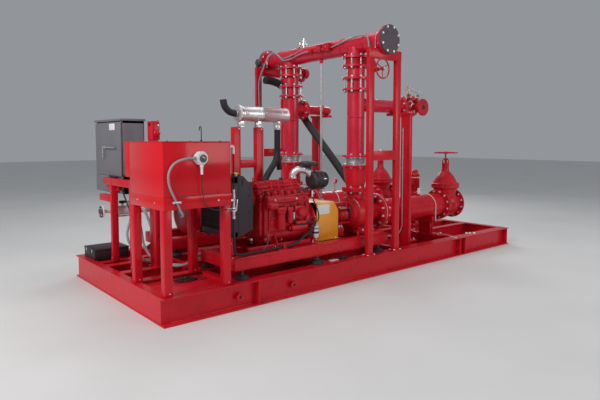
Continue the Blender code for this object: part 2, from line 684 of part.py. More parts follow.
def radiator():
    """Core and tank in front, and behind it a shroud that is cut back at its top and bottom."""
    y_low, y_high = -0.995, -0.395
    z_low, z_high = RADIATOR_BOTTOM + GAP, 1.265
    shapes = [box((-2.11, y_low, z_low), (-2.03, y_high, z_high))]
    front, back = -2.04, -1.853
    outline = [(z_low, front), (z_low, back - 0.165), (z_low + 0.066, back), (z_high - 0.115, back),
               (z_high, back - 0.115), (z_high, front)]
    shapes.append(prism(outline, 1, y_low, y_high))
    shapes.append(rod((-2.05, -LINE_Y, z_high - 0.01), (-2.05, -LINE_Y, z_high + 0.04), 0.04, 12))
    part("radiator", "black", shapes)


def air_filter():
    """Black drum lying beside the engine on a neck that leads down to the intake."""
    drum = Vector((-0.83, -0.815, 1.165))
    shapes = [turned([(0.085, 0), (0.10, 0.01), (0.10, 0.20), (0.085, 0.21)], drum - Vector((0.105, 0, 0)),
                     (1, 0, 0), 20)]
    shapes.append(pipe([(-0.885, -0.80, 1.20), (-0.945, -0.765, 1.27), (-1.02, -0.70, 1.28),
                        (-1.06, -0.66, 1.23), (-1.06, -0.66, 1.19)], 0.045, 2, 3))
    shapes.append(rod((-1.06, -0.66, 1.165 + GAP), (-1.06, -0.66, 1.20), 0.052, 16))
    shapes.append(turned([(0.04, 0), (0.04, 0.09), (0.10, 0.10), (0.11, 0.125), (0.05, 0.15)],
                         (-0.92, -0.765, 1.235), (0, 0, 1), 16))
    part("air_filter", "black", shapes)


def electric_motor():
    y = LINE_Y
    length = DRIVE_FACE - MOTOR_START
    shapes = [turned([(0.18, 0), (0.23, 0.02), (0.25, 0.05), (0.25, 0.26), (0.235, 0.27),
                      (0.235, length - 0.10), (0.25, length - 0.09), (0.25, length - 0.04), (0.10, length)],
                     (MOTOR_START, y, PUMP_AXIS_Z), (1, 0, 0))]
    for x in (-1.50, -1.16):
        shapes.append(sole_plate(FAR, x - 0.06, x + 0.06, 0.485))
        shapes.append(box((x - 0.05, y - 0.20, 0.47), (x + 0.05, y + 0.20, 0.62)))
    shapes.append(box((-1.50, y - 0.11, 0.90), (-1.26, y + 0.11, 1.06)))
    part("electric_motor", "red", shapes)


def coupling_guard(side):
    y = side * LINE_Y
    x_low, x_high = -0.88 + GAP, -0.54
    outline = [(BASE_TOP + GAP, x_low), (0.90, x_low), (0.90, x_high - 0.07), (0.80, x_high),
               (BASE_TOP + GAP, x_high)]
    shell = prism(outline, 1, y - 0.22, y + 0.22)
    tunnel = prism([(BASE_TOP - 0.01, x_low - 0.01), (0.85, x_low - 0.01), (0.85, x_high + 0.01),
                    (BASE_TOP - 0.01, x_high + 0.01)], 1, y - 0.16, y + 0.16)
    part(f"coupling_guard_{SIDE_NAMES[side]}", "yellow", [shell], [tunnel])


# Exhaust

def silencer():
    start, end = SILENCER_X
    reach = end - start
    profile = [(0.07, 0), (0.098, 0.012), (0.098, 0.03), (0.088, 0.04), (0.088, reach - 0.01), (0.08, reach)]
    shapes = [turned(profile, (start, SILENCER_Y, 1.915), (1, 0, 0), 24)]
    shapes.append(rod((EXHAUST_X, SILENCER_Y, 1.80), (EXHAUST_X, SILENCER_Y, 1.90), 0.043, 16))
    for x in STAND_POST_X:
        shapes.append(bar((max(x, start + 0.055), SILENCER_Y, 1.81), (0.06, 0.06, 0.09)))
    part("silencer", "steel", shapes)


def silencer_stand():
    y = SILENCER_Y
    foot = BEAM_HEIGHT + GAP
    shapes = []
    for x in STAND_POST_X:
        low_y = -INNER_BEAM_Y - 0.03
        shapes.append(box((x - 0.048, y - 0.034, 0.26), (x + 0.048, y + 0.034, 1.765 - GAP)))
        shapes.append(box((x - 0.043, low_y, foot), (x + 0.043, y + 0.03, 0.30)))
    shapes.append(box((STAND_POST_X[0], y - 0.028, 1.30), (STAND_POST_X[1], y + 0.028, 1.392)))
    part("silencer_stand", "red", shapes)


def exhaust_pipes():
    x, y = EXHAUST_X, SILENCER_Y
    manifold = Vector((-1.29, -0.435, 1.05 + GAP))
    up = pipe([(x, y, 1.78), (x, y, 1.60), (x - 0.005, y, 1.46), (x - 0.05, y - 0.02, 1.36),
               (-1.16, y - 0.09, 1.26), (-1.27, -0.42, 1.17), manifold + Vector((0, 0, 0.02))], 0.037, 2, 3)
    collars = [rod((x, y, 1.74), (x, y, 1.80 - GAP), 0.043, 16),
               rod(manifold, manifold + Vector((0, 0, 0.04)), 0.055, 16)]
    part("exhaust_pipe", "black", [up] + collars)
    start = SILENCER_X[0] - GAP
    tail = pipe([(start - 0.01, y, 1.918), (-1.60, y, 1.92), (-1.66, y, 1.937), (-1.712, y, 1.985),
                 (-1.735, y, 2.055)], 0.038, 3, 4)
    part("tailpipe", "black", [tail, rod((start - 0.03, y, 1.918), (start, y, 1.918), 0.042, 16)])


# Cables and hoses

def front_cables():
    """Conduit and cable from the level gauge, and the fuel hose with its valve."""
    face = TANK_LOW[1]
    y = face - 0.028
    gauge_y = face - GAP - GAUGE_GLAND_Y
    under = TANK_LOW[2] - 0.012 - GAP
    start = GAUGE_X - GAUGE_REACH - GAP
    route = [(start, gauge_y, GAUGE_Z), (start - 0.02, gauge_y, GAUGE_Z), (start - 0.04, gauge_y, GAUGE_Z),
             (-2.74, gauge_y + 0.006, 1.438), (-2.80, y - 0.004, 1.405),
             (-2.84, y, 1.335), (-2.844, y, 1.262), (-2.825, y, 1.188), (-2.79, y, 1.115), (-2.74, y, 1.01),
             (-2.712, y + 0.006, 0.96), (-2.70, -1.10, 0.94), (-2.70, -1.07, 0.965),
             (-2.70, -1.065, under - 0.02), (-2.70, -1.065, under - 0.01), (-2.70, -1.065, under)]
    part("tank_conduit", "conduit", [pipe(route, 0.010, 1, 2)])
    valve_x, valve_y = TANK_HIGH[0] + 0.047, face + 0.03
    start = GAUGE_Z - GAUGE_DROP - GAP
    route = [(GAUGE_X, gauge_y, start), (GAUGE_X, gauge_y, start - 0.01), (GAUGE_X, gauge_y, start - 0.02),
             (-2.522, y, 1.16), (-2.49, y, 1.045), (-2.41, y, 0.986),
             (-2.30, y, 0.978), (-2.20, y - 0.004, 0.973), (-2.16, y + 0.01, 0.97),
             (valve_x, valve_y - 0.018 - GAP, 0.97)]
    part("tank_cable", "rubber", [pipe(route, 0.0045, 2, 2)])
    hose_r = 0.012
    on_base = BASE_TOP + hose_r + 0.001
    on_plate = PLATE_TOP + hose_r + 0.001
    lane = -0.975
    route = [(valve_x, valve_y, 0.89), (valve_x, valve_y, 0.76), (valve_x + 0.002, valve_y, 0.62),
             (valve_x + 0.02, valve_y + 0.01, 0.54), (-2.08, -1.04, 0.51), (-1.98, -1.005, 0.49),
             (-1.84, -0.98, on_base + 0.004), (-1.68, lane, on_base + 0.005), (-1.57, lane, on_plate + 0.002),
             (-1.42, lane, on_plate + 0.004), (-1.28, -0.965, 0.50), (-1.18, -0.95, 0.54),
             (-1.10, FILTER_Y, 0.575), (FILTER_INLET - 0.024, FILTER_Y, 0.58),
             (FILTER_INLET - 0.012, FILTER_Y, 0.58), (FILTER_INLET - GAP, FILTER_Y, 0.58)]
    shapes = [rod((valve_x, valve_y, 0.87), (valve_x, valve_y, 1.07), 0.018, 12)]
    tray = TANK_HIGH[0] + 0.004 + GAP
    shapes.append(rod((tray, valve_y, 1.05), (valve_x + 0.01, valve_y, 1.05), 0.014, 12))
    shapes.append(rod((valve_x, valve_y, 1.06), (valve_x, valve_y, 1.52), 0.007, 8))
    shapes.append(rod((valve_x, valve_y, 1.49), (valve_x, valve_y, 1.57), 0.011, 10))
    shapes.append(rod((TANK_HIGH[0] + GAP, valve_y, 1.556), (valve_x + 0.005, valve_y, 1.556), 0.012, 10))
    part("fuel_hose", "rubber", shapes + [pipe(route, hose_r, 2, 2)])


def conduit_run(side):
    """Tube from the junction box along the header's front and down the portal's inner face."""
    start = BOX_Y[0] if side == NEAR else BOX_Y[1]
    wall = side * (PORTAL_Y - 0.025 - 0.0105)
    x = RISER_X - 0.16
    foot = BEAM_HEIGHT + 0.012 + 2 * GAP
    lead = [(x, start + side * step, 2.80) for step in (-0.01, 0.01, 0.02)]
    if side == NEAR:
        middle = [(x, -0.16, 2.80), (x + 0.025, -0.30, 2.80), (x + 0.03, -0.47, 2.83),
                  (x + 0.045, -0.64, 2.87), (x + 0.055, -0.81, 2.885), (x + 0.035, -0.93, 2.86),
                  (x, -1.0, 2.77)]
    else:
        middle = [(x, 0.17, 2.80), (x + 0.025, 0.32, 2.785), (x + 0.03, 0.50, 2.755),
                  (x + 0.025, 0.66, 2.755), (x + 0.045, 0.80, 2.835), (x + 0.06, 0.91, 2.89),
                  (x + 0.02, 0.995, 2.84)]
    post_x = PORTAL_POST_X[0]
    down = [(-0.225, wall - side * 0.04, 2.68), (-0.255, wall - side * 0.02, 2.56), (post_x, wall, 2.43),
            (post_x, wall, 2.36), (post_x, wall, foot)]
    return pipe(lead + middle + down, 0.009, 1, 3)


def header_conduit():
    """Junction box in front of the header, with a tube to the foot of each portal."""
    shell = box((RISER_X - BOX_REACH, BOX_Y[0], 2.775), (RISER_X - PIPE_R - GAP, BOX_Y[1], 2.865))
    part("header_conduit", "conduit", [shell, conduit_run(NEAR), conduit_run(FAR)])


def cabinet_hoses():
    """Gland plate under the cabinet, with two hoses over the deck to the front of the diesel's base."""
    top = CABINET_LOW[2] - GAP
    deck = BEAM_HEIGHT + 0.0145
    front = BASE_X[0] - GAP
    upper = [(-2.50, 0.42, top - 0.006), (-2.50, 0.42, 0.95), (-2.56, 0.36, 0.75), (-2.64, 0.27, 0.58),
             (-2.60, 0.20, 0.42), (-2.50, 0.17, 0.31), (-2.40, 0.16, deck + 0.004), (-2.36, 0.06, deck),
             (-2.33, -0.06, deck), (-2.26, -0.17, deck), (-2.19, -0.26, 0.30), (-2.145, -0.335, 0.38),
             (front - 0.024, -0.375, 0.405), (front - 0.012, -0.375, 0.405), (front, -0.375, 0.405)]
    lower = [(-2.43, 0.45, top - 0.006), (-2.43, 0.45, 0.85), (-2.41, 0.43, 0.60), (-2.40, 0.38, 0.42),
             (-2.37, 0.29, 0.31), (-2.34, 0.19, deck + 0.004), (-2.325, 0.06, deck), (-2.29, -0.05, deck),
             (-2.22, -0.15, deck), (-2.155, -0.245, 0.28), (-2.135, -0.33, 0.335),
             (front - 0.024, -0.375, 0.36), (front - 0.012, -0.375, 0.36), (front, -0.375, 0.36)]
    plate = box((-2.54, 0.38, top - 0.012), (-2.395, 0.49, top))
    part("cabinet_hoses", "conduit", [plate, pipe(upper, 0.013, 2, 2), pipe(lower, 0.013, 2, 2)])


# Front end of the skid: tank, cabinet, battery and alarm

def fuel_tank():
    """Welded box with its lid, on a tray with four legs."""
    x_low, y_low, z_low = TANK_LOW
    x_high, y_high, z_high = TANK_HIGH
    wall = TANK_WALL
    lid_low = z_high - wall
    tank = box(TANK_LOW, (x_high, y_high, lid_low - GAP))
    inside = box((x_low + wall, y_low + wall, z_low + wall), (x_high - wall, y_high - wall, z_high))
    part("fuel_tank", "red", [tank], [inside])
    part("tank_lid", "red", [box((x_low, y_low, lid_low), TANK_HIGH)])
    rim = 0.004
    tray = box((x_low - rim, y_low - rim, z_low - 0.012), (x_high + rim, y_high + rim, TRAY_TOP))
    recess = box((x_low - GAP, y_low - GAP, z_low - GAP), (x_high + GAP, y_high + GAP, TRAY_TOP + 0.01))
    shapes = [tray]
    for x in (x_low, x_high - LEG):
        for y in (y_low + 0.004, y_high - LEG):
            shapes.append(box((x, y, BEAM_HEIGHT + GAP), (x + LEG, y + LEG, z_low - 0.006)))
    part("tank_stand", "red", shapes, [recess])


def level_gauge():
    back = TANK_LOW[1] - GAP
    middle = Vector((GAUGE_X, back - GAUGE_GLAND_Y, GAUGE_Z))
    shapes = [bar((GAUGE_X, back - 0.029, GAUGE_Z), (0.127, 0.058, 0.122))]
    shapes.append(rod(middle - Vector((0, 0, GAUGE_DROP)), middle, 0.012, 12))
    shapes.append(rod(middle - Vector((GAUGE_REACH, 0, 0)), middle, 0.014, 12))
    part("level_gauge", "grey", shapes)


def cabinet():
    x_low, y_low, z_low = CABINET_LOW
    x_high, y_high, z_high = CABINET_HIGH
    shell = box(CABINET_LOW, CABINET_HIGH)
    over = 0.012
    roof = box((x_low - 0.03, y_low - over, z_high - over), (x_high + over, y_high + over, z_high + over))
    hollow = box((x_low - 0.01, y_low + CABINET_RETURN, DOOR_LOW_Z + 0.02),
                 (x_high - CABINET_WALL, y_high - CABINET_RETURN, z_high - 0.04))
    hinge_x, hinge_y = x_low - DOOR_GAP, y_low + 0.008
    door_top = z_high - 0.024
    lugs = []
    for low, high in ((DOOR_LOW_Z - 0.012, DOOR_LOW_Z - GAP), (door_top + GAP, z_high - 0.005)):
        lugs.append(box((hinge_x - 0.012, hinge_y - 0.004, low), (x_low + 0.005, hinge_y + 0.025, high)))
    body = part("controller_cabinet", "grey", [shell, roof] + lugs, [hollow], origin=(x_low, y_low, z_low))
    door = box((hinge_x - 0.018, hinge_y, DOOR_LOW_Z), (hinge_x, y_high - 0.008, door_top))
    lock_y = y_high - 0.31
    knob = rod((hinge_x - 0.05, lock_y, 1.535), (hinge_x - 0.01, lock_y, 1.535), 0.014, 12)
    grip = bar((hinge_x - 0.045, lock_y - 0.18, 1.535), (0.014, 0.37, 0.014))
    drop = bar((hinge_x - 0.045, lock_y, 1.48), (0.014, 0.018, 0.12))
    part("cabinet_door", "grey", [door, knob, grip, drop], origin=(hinge_x, hinge_y, z_low), parent=body)
    posts = []
    for low, high in STAND_Y:
        posts.append(box((STAND_X[0], low, BEAM_HEIGHT + GAP), (STAND_X[1], high, 1.198)))
    posts.append(box((STAND_X[0] + 0.002, -0.04, 1.116), (STAND_X[1] - 0.002, 0.78, 1.193)))
    posts.append(box((STAND_X[0] + 0.004, 0.53, 0.92), (STAND_X[1] - 0.004, 0.91, 0.995)))
    posts.append(box((STAND_X[1] - 0.02, 0.45, 1.05), (x_low - GAP, 0.76, 1.17)))
    part("cabinet_stand", "red", posts)


def battery_box():
    shapes = [box((-2.842, 0.716, BEAM_HEIGHT + GAP), (-2.445, 1.063, 0.355))]
    shapes.append(box((-2.846, 0.712, 0.350), (-2.441, 1.067, 0.372)))
    part("battery_box", "black", shapes)


def alarm_post():
    x, y = -2.428, 0.0
    shapes = [box((x - 0.026, y - 0.045, BEAM_HEIGHT + GAP), (x + 0.026, y + 0.105, 1.64))]
    shapes.append(box((x - 0.038, y - 0.048, 1.617), (x + 0.038, y + 0.09, 1.818)))
    shapes.append(rod((x, y - 0.064, 1.715), (x, y - 0.03, 1.715), 0.032, 16))
    part("alarm_post", "red", shapes)


def test_manifold():
    """Stainless barrel along X with an inlet pipe and a disc flange at the skid's end."""
    y, z = LINE_Y - 0.02, 0.815
    profile = [(0.068, 0), (0.068, 0.016), (0.02, 0.018), (0.02, 0.175), (0.04, 0.185), (0.05, 0.205),
               (0.05, 0.70), (0.03, 0.72)]
    shapes = [turned(profile, (-2.79, y, z), (1, 0, 0), 20)]
    for x in (-2.45, -2.2):
        shapes.append(rod((x, y, z), (x, y, z + 0.10), 0.018, 10))
    part("stainless_manifold", "steel", shapes)


def main():
    for item in list(bpy.data.objects):
        bpy.data.objects.remove(item)
    near_branch_end, far_branch_end = 0.83, 0.20
    for side in (NEAR, FAR):
        side_beam(side)
        pump(side)
        bellows(side)
        suction_line(side)
        coupling_guard(side)
        portal(side)
        butterfly_handwheel(side, butterfly_valve(side))
        gate_handwheel(side, gate_valve(side))
    end_beam_front()
    end_beam_rear()
    inner_frame()
    radiator_legs = [box((-2.085, low, BASE_TOP - 0.01), (-2.045, high, RADIATOR_BOTTOM))
                     for low, high in ((-0.955, -0.90), (-0.84, -0.76))]
    part("diesel_base", "red", pump_base(NEAR) + radiator_legs)
    manifold_post = box((-2.10, 0.60, 0.40), (-2.05, 0.65, 0.815 - 0.05 - GAP))
    part("electric_base", "red", pump_base(FAR) + [manifold_post])
    riser(NEAR, near_branch_end)
    riser(FAR, far_branch_end)
    relief_valve_near(near_branch_end)
    relief_valve_far(far_branch_end)
    branch_post(NEAR, 0.69, -0.89, BRANCH_Z - BRANCH_R - GAP)
    branch_post(FAR, 0.69, 0.89, BRANCH_Z - 0.062 - GAP)
    header()
    header_conduit()
    drain_pipe()
    jockey_pump()
    slanted_duct()
    diesel_engine()
    radiator()
    air_filter()
    electric_motor()
    silencer()
    silencer_stand()
    exhaust_pipes()
    fuel_tank()
    level_gauge()
    front_cables()
    cabinet_hoses()
    cabinet()
    battery_box()
    alarm_post()
    test_manifold()


main()
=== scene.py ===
"""Looks of the fire pump package: finishes, fasteners, cast detail, camera and light.

Lengths are in metres with +Z up, but the profiles given to Piece.lathe are in millimetres.
"""

from math import cos, pi, radians, sin

import bmesh
import bpy
from mathutils import Matrix, Vector


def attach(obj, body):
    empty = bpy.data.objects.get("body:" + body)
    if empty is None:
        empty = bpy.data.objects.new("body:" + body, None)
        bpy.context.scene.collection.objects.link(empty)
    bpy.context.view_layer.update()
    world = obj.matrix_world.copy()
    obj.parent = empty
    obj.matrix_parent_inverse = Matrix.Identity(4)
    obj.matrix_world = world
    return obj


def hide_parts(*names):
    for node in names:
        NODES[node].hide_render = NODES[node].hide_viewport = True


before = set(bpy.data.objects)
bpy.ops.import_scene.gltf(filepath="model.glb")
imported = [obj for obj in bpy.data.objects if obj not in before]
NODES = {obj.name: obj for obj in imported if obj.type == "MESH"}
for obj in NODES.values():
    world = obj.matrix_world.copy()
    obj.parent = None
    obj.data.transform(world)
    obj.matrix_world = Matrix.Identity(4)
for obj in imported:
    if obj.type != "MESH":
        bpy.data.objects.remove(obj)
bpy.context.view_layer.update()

NEAR, FAR = -1, 1
SIDES = {NEAR: "near", FAR: "far"}
LINE_Y = 0.645
RISER_X = -0.02
PIPE_R = 0.1095
FLANGE_R = 0.17
PLATE = 0.026
PUMP_Z = 0.69
SUCTION_Z = 0.665
GATE_X = 1.945
GATE_WHEEL_Z = 1.432
DECK = 0.25
CLEAR = 0.0003
BASE_LOW, BASE_HIGH = 0.335, 0.465
BASE_TOP = 0.4653
DECK_TOP = DECK + CLEAR
HEADER_Z = 2.8
BRANCH_Z = 2.065
BOLT_CIRCLE = 0.1475
SHARP_ANGLE = 0.6
TANK_LOW, TANK_HIGH = Vector((-2.88, -1.136, 1.02)), Vector((-2.202, -0.42, 1.604))
GAUGE = Vector((-2.53, -1.1363, 1.455))
X, Y, Z = Vector((1, 0, 0)), Vector((0, 1, 0)), Vector((0, 0, 1))


# Materials

def new_material(name):
    made = bpy.data.materials.new(name)
    made.use_nodes = True
    tree = made.node_tree
    return made, tree.nodes, tree.links, tree.nodes["Principled BSDF"]


def object_noise(nodes, links, scale, detail=4.0, stretch=(1, 1, 1)):
    place = nodes.new("ShaderNodeTexCoord")
    mapping = nodes.new("ShaderNodeMapping")
    mapping.inputs["Scale"].default_value = stretch
    noise = nodes.new("ShaderNodeTexNoise")
    noise.inputs["Scale"].default_value = scale
    noise.inputs["Detail"].default_value = detail
    links.new(place.outputs["Object"], mapping.inputs["Vector"])
    links.new(mapping.outputs["Vector"], noise.inputs["Vector"])
    return noise


def add_bump(nodes, links, shader, source, strength):
    bump = nodes.new("ShaderNodeBump")
    bump.inputs["Strength"].default_value = strength
    bump.inputs["Distance"].default_value = 0.001
    links.new(source, bump.inputs["Height"])
    links.new(bump.outputs["Normal"], shader.inputs["Normal"])


def surface(name, colour, other, rough=(0.3, 0.4), metal=0.0, scale=6.0, fine=180.0, bump=0.12,
            coat=0.0, stretch=(1, 1, 1), shine=0.5):
    """A finish whose colour and roughness drift over the surface, with a fine bump."""
    made, nodes, links, shader = new_material(name)
    broad = object_noise(nodes, links, scale, 5.0, stretch)
    ramp = nodes.new("ShaderNodeValToRGB")
    ramp.color_ramp.elements[0].position = 0.35
    ramp.color_ramp.elements[1].position = 0.68
    ramp.color_ramp.elements[0].color = (*other, 1)
    ramp.color_ramp.elements[1].color = (*colour, 1)
    links.new(broad.outputs["Fac"], ramp.inputs["Fac"])
    links.new(ramp.outputs["Color"], shader.inputs["Base Color"])
    spread = nodes.new("ShaderNodeMapRange")
    spread.inputs["From Min"].default_value = 0.3
    spread.inputs["From Max"].default_value = 0.7
    spread.inputs["To Min"].default_value = rough[0]
    spread.inputs["To Max"].default_value = rough[1]
    links.new(broad.outputs["Fac"], spread.inputs["Value"])
    links.new(spread.outputs["Result"], shader.inputs["Roughness"])
    shader.inputs["Metallic"].default_value = metal
    shader.inputs["Specular IOR Level"].default_value = shine
    shader.inputs["Coat Weight"].default_value = coat
    shader.inputs["Coat Roughness"].default_value = 0.06
    grain = object_noise(nodes, links, fine, 3.0, stretch)
    add_bump(nodes, links, shader, grain.outputs["Fac"], bump)
    return made


RED = surface("red_gloss", (0.62, 0.008, 0.022), (0.55, 0.006, 0.017), (0.24, 0.36), coat=0.1, bump=0.1,
              shine=0.22)
CAST = surface("red_cast", (0.62, 0.008, 0.022), (0.46, 0.005, 0.014), (0.3, 0.45), coat=0.1, bump=0.45,
               fine=260.0, scale=14.0, shine=0.25)
TANK = surface("red_tank", (0.64, 0.008, 0.016), (0.6, 0.007, 0.014), (0.1, 0.18), coat=0.15, bump=0.04,
               fine=60.0, scale=3.0, shine=0.2)
PIPE = surface("red_pipe", (0.63, 0.008, 0.04), (0.56, 0.006, 0.033), (0.24, 0.36), coat=0.1, bump=0.1)
BLACK = surface("black_satin", (0.02, 0.018, 0.022), (0.01, 0.009, 0.011), (0.35, 0.5), bump=0.2)
PLASTIC = surface("black_plastic", (0.028, 0.017, 0.022), (0.016, 0.009, 0.012), (0.42, 0.55), bump=0.3)
RUBBER = surface("black_rubber", (0.014, 0.014, 0.015), (0.022, 0.021, 0.021), (0.6, 0.75), bump=0.25)
SHROUD = surface("black_shroud", (0.038, 0.016, 0.026), (0.022, 0.008, 0.015), (0.48, 0.62), bump=0.3)
LAGGING = surface("exhaust_black", (0.03, 0.026, 0.034), (0.012, 0.01, 0.014), (0.55, 0.75), bump=0.6,
                  fine=90.0)
STEEL = surface("stainless", (0.86, 0.82, 0.83), (0.74, 0.7, 0.71), (0.26, 0.4), 0.88, 5.0, 120.0, 0.1,
                stretch=(0.4, 4, 4))
BRAID = surface("steel_braid", (0.8, 0.8, 0.82), (0.55, 0.55, 0.58), (0.3, 0.5), 0.7, 90.0, 700.0, 0.5)
# Near-white and barely metallic: bright steel's own light tone plus a painted sheen, so it shows white even
# in shade.
BRIGHT = surface("bright_steel", (0.88, 0.86, 0.87), (0.8, 0.78, 0.79), (0.3, 0.42), 0.05, 6.0, 150.0, 0.08)
ZINC = surface("zinc_bolt", (0.82, 0.82, 0.84), (0.62, 0.62, 0.64), (0.22, 0.38), 0.9, 60.0, 500.0, 0.15)
GALVANISED = surface("galvanised", (0.6, 0.6, 0.62), (0.44, 0.44, 0.46), (0.35, 0.5), 0.8, 35.0, 200.0, 0.2)
GREY = surface("cabinet_grey", (0.165, 0.16, 0.178), (0.15, 0.145, 0.16), (0.45, 0.55), bump=0.35,
               fine=420.0)
IRON = surface("blank_iron", (0.115, 0.09, 0.105), (0.07, 0.055, 0.065), (0.45, 0.6), 0.4, 20.0, 150.0, 0.3)
YELLOW = surface("guard_yellow", (0.86, 0.36, 0.01), (0.78, 0.3, 0.008), (0.35, 0.45), coat=0.2, bump=0.2)
WHITE = surface("white_plastic", (0.78, 0.78, 0.78), (0.7, 0.7, 0.71), (0.35, 0.45), bump=0.1)
CONDUIT = surface("grey_conduit", (0.3, 0.31, 0.33), (0.24, 0.25, 0.27), (0.45, 0.55), bump=0.15)
BRASS = surface("brass", (0.62, 0.42, 0.16), (0.45, 0.3, 0.12), (0.25, 0.4), 1.0, 30.0, 200.0, 0.1)
GLASS = surface("gauge_glass", (0.1, 0.1, 0.11), (0.08, 0.08, 0.09), (0.05, 0.08), bump=0.0, coat=1.0)


# Shapes, gathered into one mesh for each piece

class Piece:
    """One piece of the scene: closed shapes added one by one, each with its own finish."""

    def __init__(self, name, body="package"):
        self.name = name
        self.body = body
        self.builder = bmesh.new()
        self.looks = []

    def mark(self, faces, look):
        if look not in self.looks:
            self.looks.append(look)
        for face in faces:
            face.material_index = self.looks.index(look)

    def merge(self, other, look, matrix=None):
        """Add a finished bmesh as one more shape."""
        if matrix is not None:
            bmesh.ops.transform(other, matrix=matrix, verts=other.verts)
        bmesh.ops.recalc_face_normals(other, faces=other.faces)
        mesh = bpy.data.meshes.new("shape")
        other.to_mesh(mesh)
        other.free()
        before = len(self.builder.faces)
        self.builder.from_mesh(mesh)
        self.builder.faces.ensure_lookup_table()
        self.mark(self.builder.faces[before:], look)
        bpy.data.meshes.remove(mesh)

    def box(self, low, high, look=RED, bevel=0.0015, turn=None):
        low, high = Vector(low), Vector(high)
        size = high - low
        shape = bmesh.new()
        bmesh.ops.create_cube(shape, size=1.0, matrix=Matrix.Diagonal((*size, 1)))
        if bevel:
            width = min(bevel, min(size) * 0.4)
            bmesh.ops.bevel(shape, geom=shape.edges[:], offset=width, segments=2, affect="EDGES", profile=0.5)
        matrix = Matrix.Translation((low + high) / 2)
        if turn:
            matrix = matrix @ turn
        self.merge(shape, look, matrix)

    def bar(self, centre, size, look=RED, bevel=0.0015, turn=None):
        half = Vector(size) / 2
        self.box(Vector(centre) - half, Vector(centre) + half, look, bevel, turn)

    def prism(self, outline, axis, low, high, look=RED, bevel=0.0015):
        shape = bmesh.new()
        corners = []
        for u, v in outline:
            place = [0.0, 0.0, 0.0]
            place[axis], place[(axis + 1) % 3], place[(axis + 2) % 3] = low, u, v
            corners.append(shape.verts.new(place))
        face = shape.faces.new(corners)
        moved = bmesh.ops.extrude_face_region(shape, geom=[face])["geom"]
        shift = Vector((0, 0, 0))
        shift[axis] = high - low
        bmesh.ops.translate(shape, vec=shift, verts=[v for v in moved if isinstance(v, bmesh.types.BMVert)])
        if bevel:
            bmesh.ops.bevel(shape, geom=shape.edges[:], offset=bevel, segments=2, affect="EDGES", profile=0.5)
        self.merge(shape, look)

    def spin(self, shape, chain, edges, centre, direction, look, sides):
        """Sweep a chain of vertices about Z and merge the result, with Z brought to a direction."""
        bmesh.ops.spin(shape, geom=chain + edges, cent=(0, 0, 0), axis=(0, 0, 1), angle=2 * pi,
                       steps=sides, use_merge=True)
        bmesh.ops.remove_doubles(shape, verts=shape.verts, dist=0.00001)
        self.merge(shape, look, Matrix.Translation(centre) @ facing(direction).to_matrix().to_4x4())

    def turned(self, profile, centre, direction, look=RED, sides=48):
        shape = bmesh.new()
        points = [(0.0, profile[0][1])] + list(profile) + [(0.0, profile[-1][1])]
        chain = [shape.verts.new((radius, 0, along)) for radius, along in points]
        edges = [shape.edges.new(pair) for pair in zip(chain, chain[1:])]
        self.spin(shape, chain, edges, centre, direction, look, sides)

    def lathe(self, millimetres, centre, direction, look=RED, sides=48):
        """A turned shape whose profile is given in millimetres, as radius and height."""
        profile = [(radius / 1000, along / 1000) for radius, along in millimetres]
        self.turned(profile, centre, direction, look, sides)

    def rod(self, start, end, radius, look=RED, sides=24, edge=0.0012):
        start, end = Vector(start), Vector(end)
        length = (end - start).length
        edge = min(edge, radius * 0.3, length * 0.3)
        self.turned([(radius - edge, 0), (radius, edge), (radius, length - edge), (radius - edge, length)],
                    start, end - start, look, sides)

    def ring(self, centre, direction, major, minor, look=RED, sides=48, tube_sides=12, flat=1.0):
        shape = bmesh.new()
        chain = [shape.verts.new((major + minor * cos(angle), 0, flat * minor * sin(angle)))
                 for angle in around(tube_sides)]
        edges = [shape.edges.new(pair) for pair in zip(chain, chain[1:] + chain[:1])]
        self.spin(shape, chain, edges, centre, direction, look, sides)

    def skin(self, rings, shape, look):
        """Close a row of rings into a solid: the sides first, then both ends."""
        for here, there in zip(rings, rings[1:]):
            for a, b, c, d in zip(here, here[1:] + here[:1], there[1:] + there[:1], there):
                shape.faces.new((a, b, c, d))
        shape.faces.new(rings[0])
        shape.faces.new(rings[-1])
        self.merge(shape, look)

    def tube(self, points, radius, look=RUBBER, sides=12, steps=6):
        """A round tube along a smooth route, with frames carried along it without twist."""
        route = smooth_route([Vector(point) for point in points], steps)
        shape = bmesh.new()
        rings = []
        side = None
        for i, place in enumerate(route):
            ahead = (route[min(i + 1, len(route) - 1)] - route[max(i - 1, 0)]).normalized()
            if side is None:
                side = ahead.orthogonal().normalized()
            side = (side - ahead * side.dot(ahead)).normalized()
            other = ahead.cross(side)
            rings.append([shape.verts.new(place + radius * (side * cos(a) + other * sin(a)))
                          for a in around(sides)])
        self.skin(rings, shape, look)

    def bolt(self, place, direction, size=0.018, height=0.014, stud=0.0, look=ZINC):
        """Hexagon head or nut, with a washer below it and the stud's end above it."""
        profile = [(size * 1.08, -0.001), (size * 1.08, 0.002), (size * 0.98, 0.0025),
                   (size, 0.004), (size, height - 0.002), (size * 0.86, height)]
        if stud:
            shank, top = size * 0.55, height + stud
            profile += [(shank, height), (shank, top), (size * 0.45, top + 0.002)]
        self.turned(profile, place, direction, look, 12 if stud else 6)

    def bolts(self, centre, direction, radius, count, size=0.018, height=0.014, stud=0.0, look=ZINC):
        """Bolts on a circle, with the first one half a step round."""
        centre, direction = Vector(centre), Vector(direction).normalized()
        for angle in around(count, 0.5):
            outward = facing(direction) @ Vector((cos(angle), sin(angle), 0))
            self.bolt(centre + outward * radius, direction, size, height, stud, look)

    def bolt_grid(self, centre, reach, size, height, stud=0.0, look=ZINC):
        """Four upright bolts at the corners of a rectangle, which reaches so far along X and Y."""
        for along in (-reach[0], reach[0]):
            for across in (-reach[1], reach[1]):
                self.bolt(Vector(centre) + Vector((along, across, 0)), Z, size, height, stud, look)

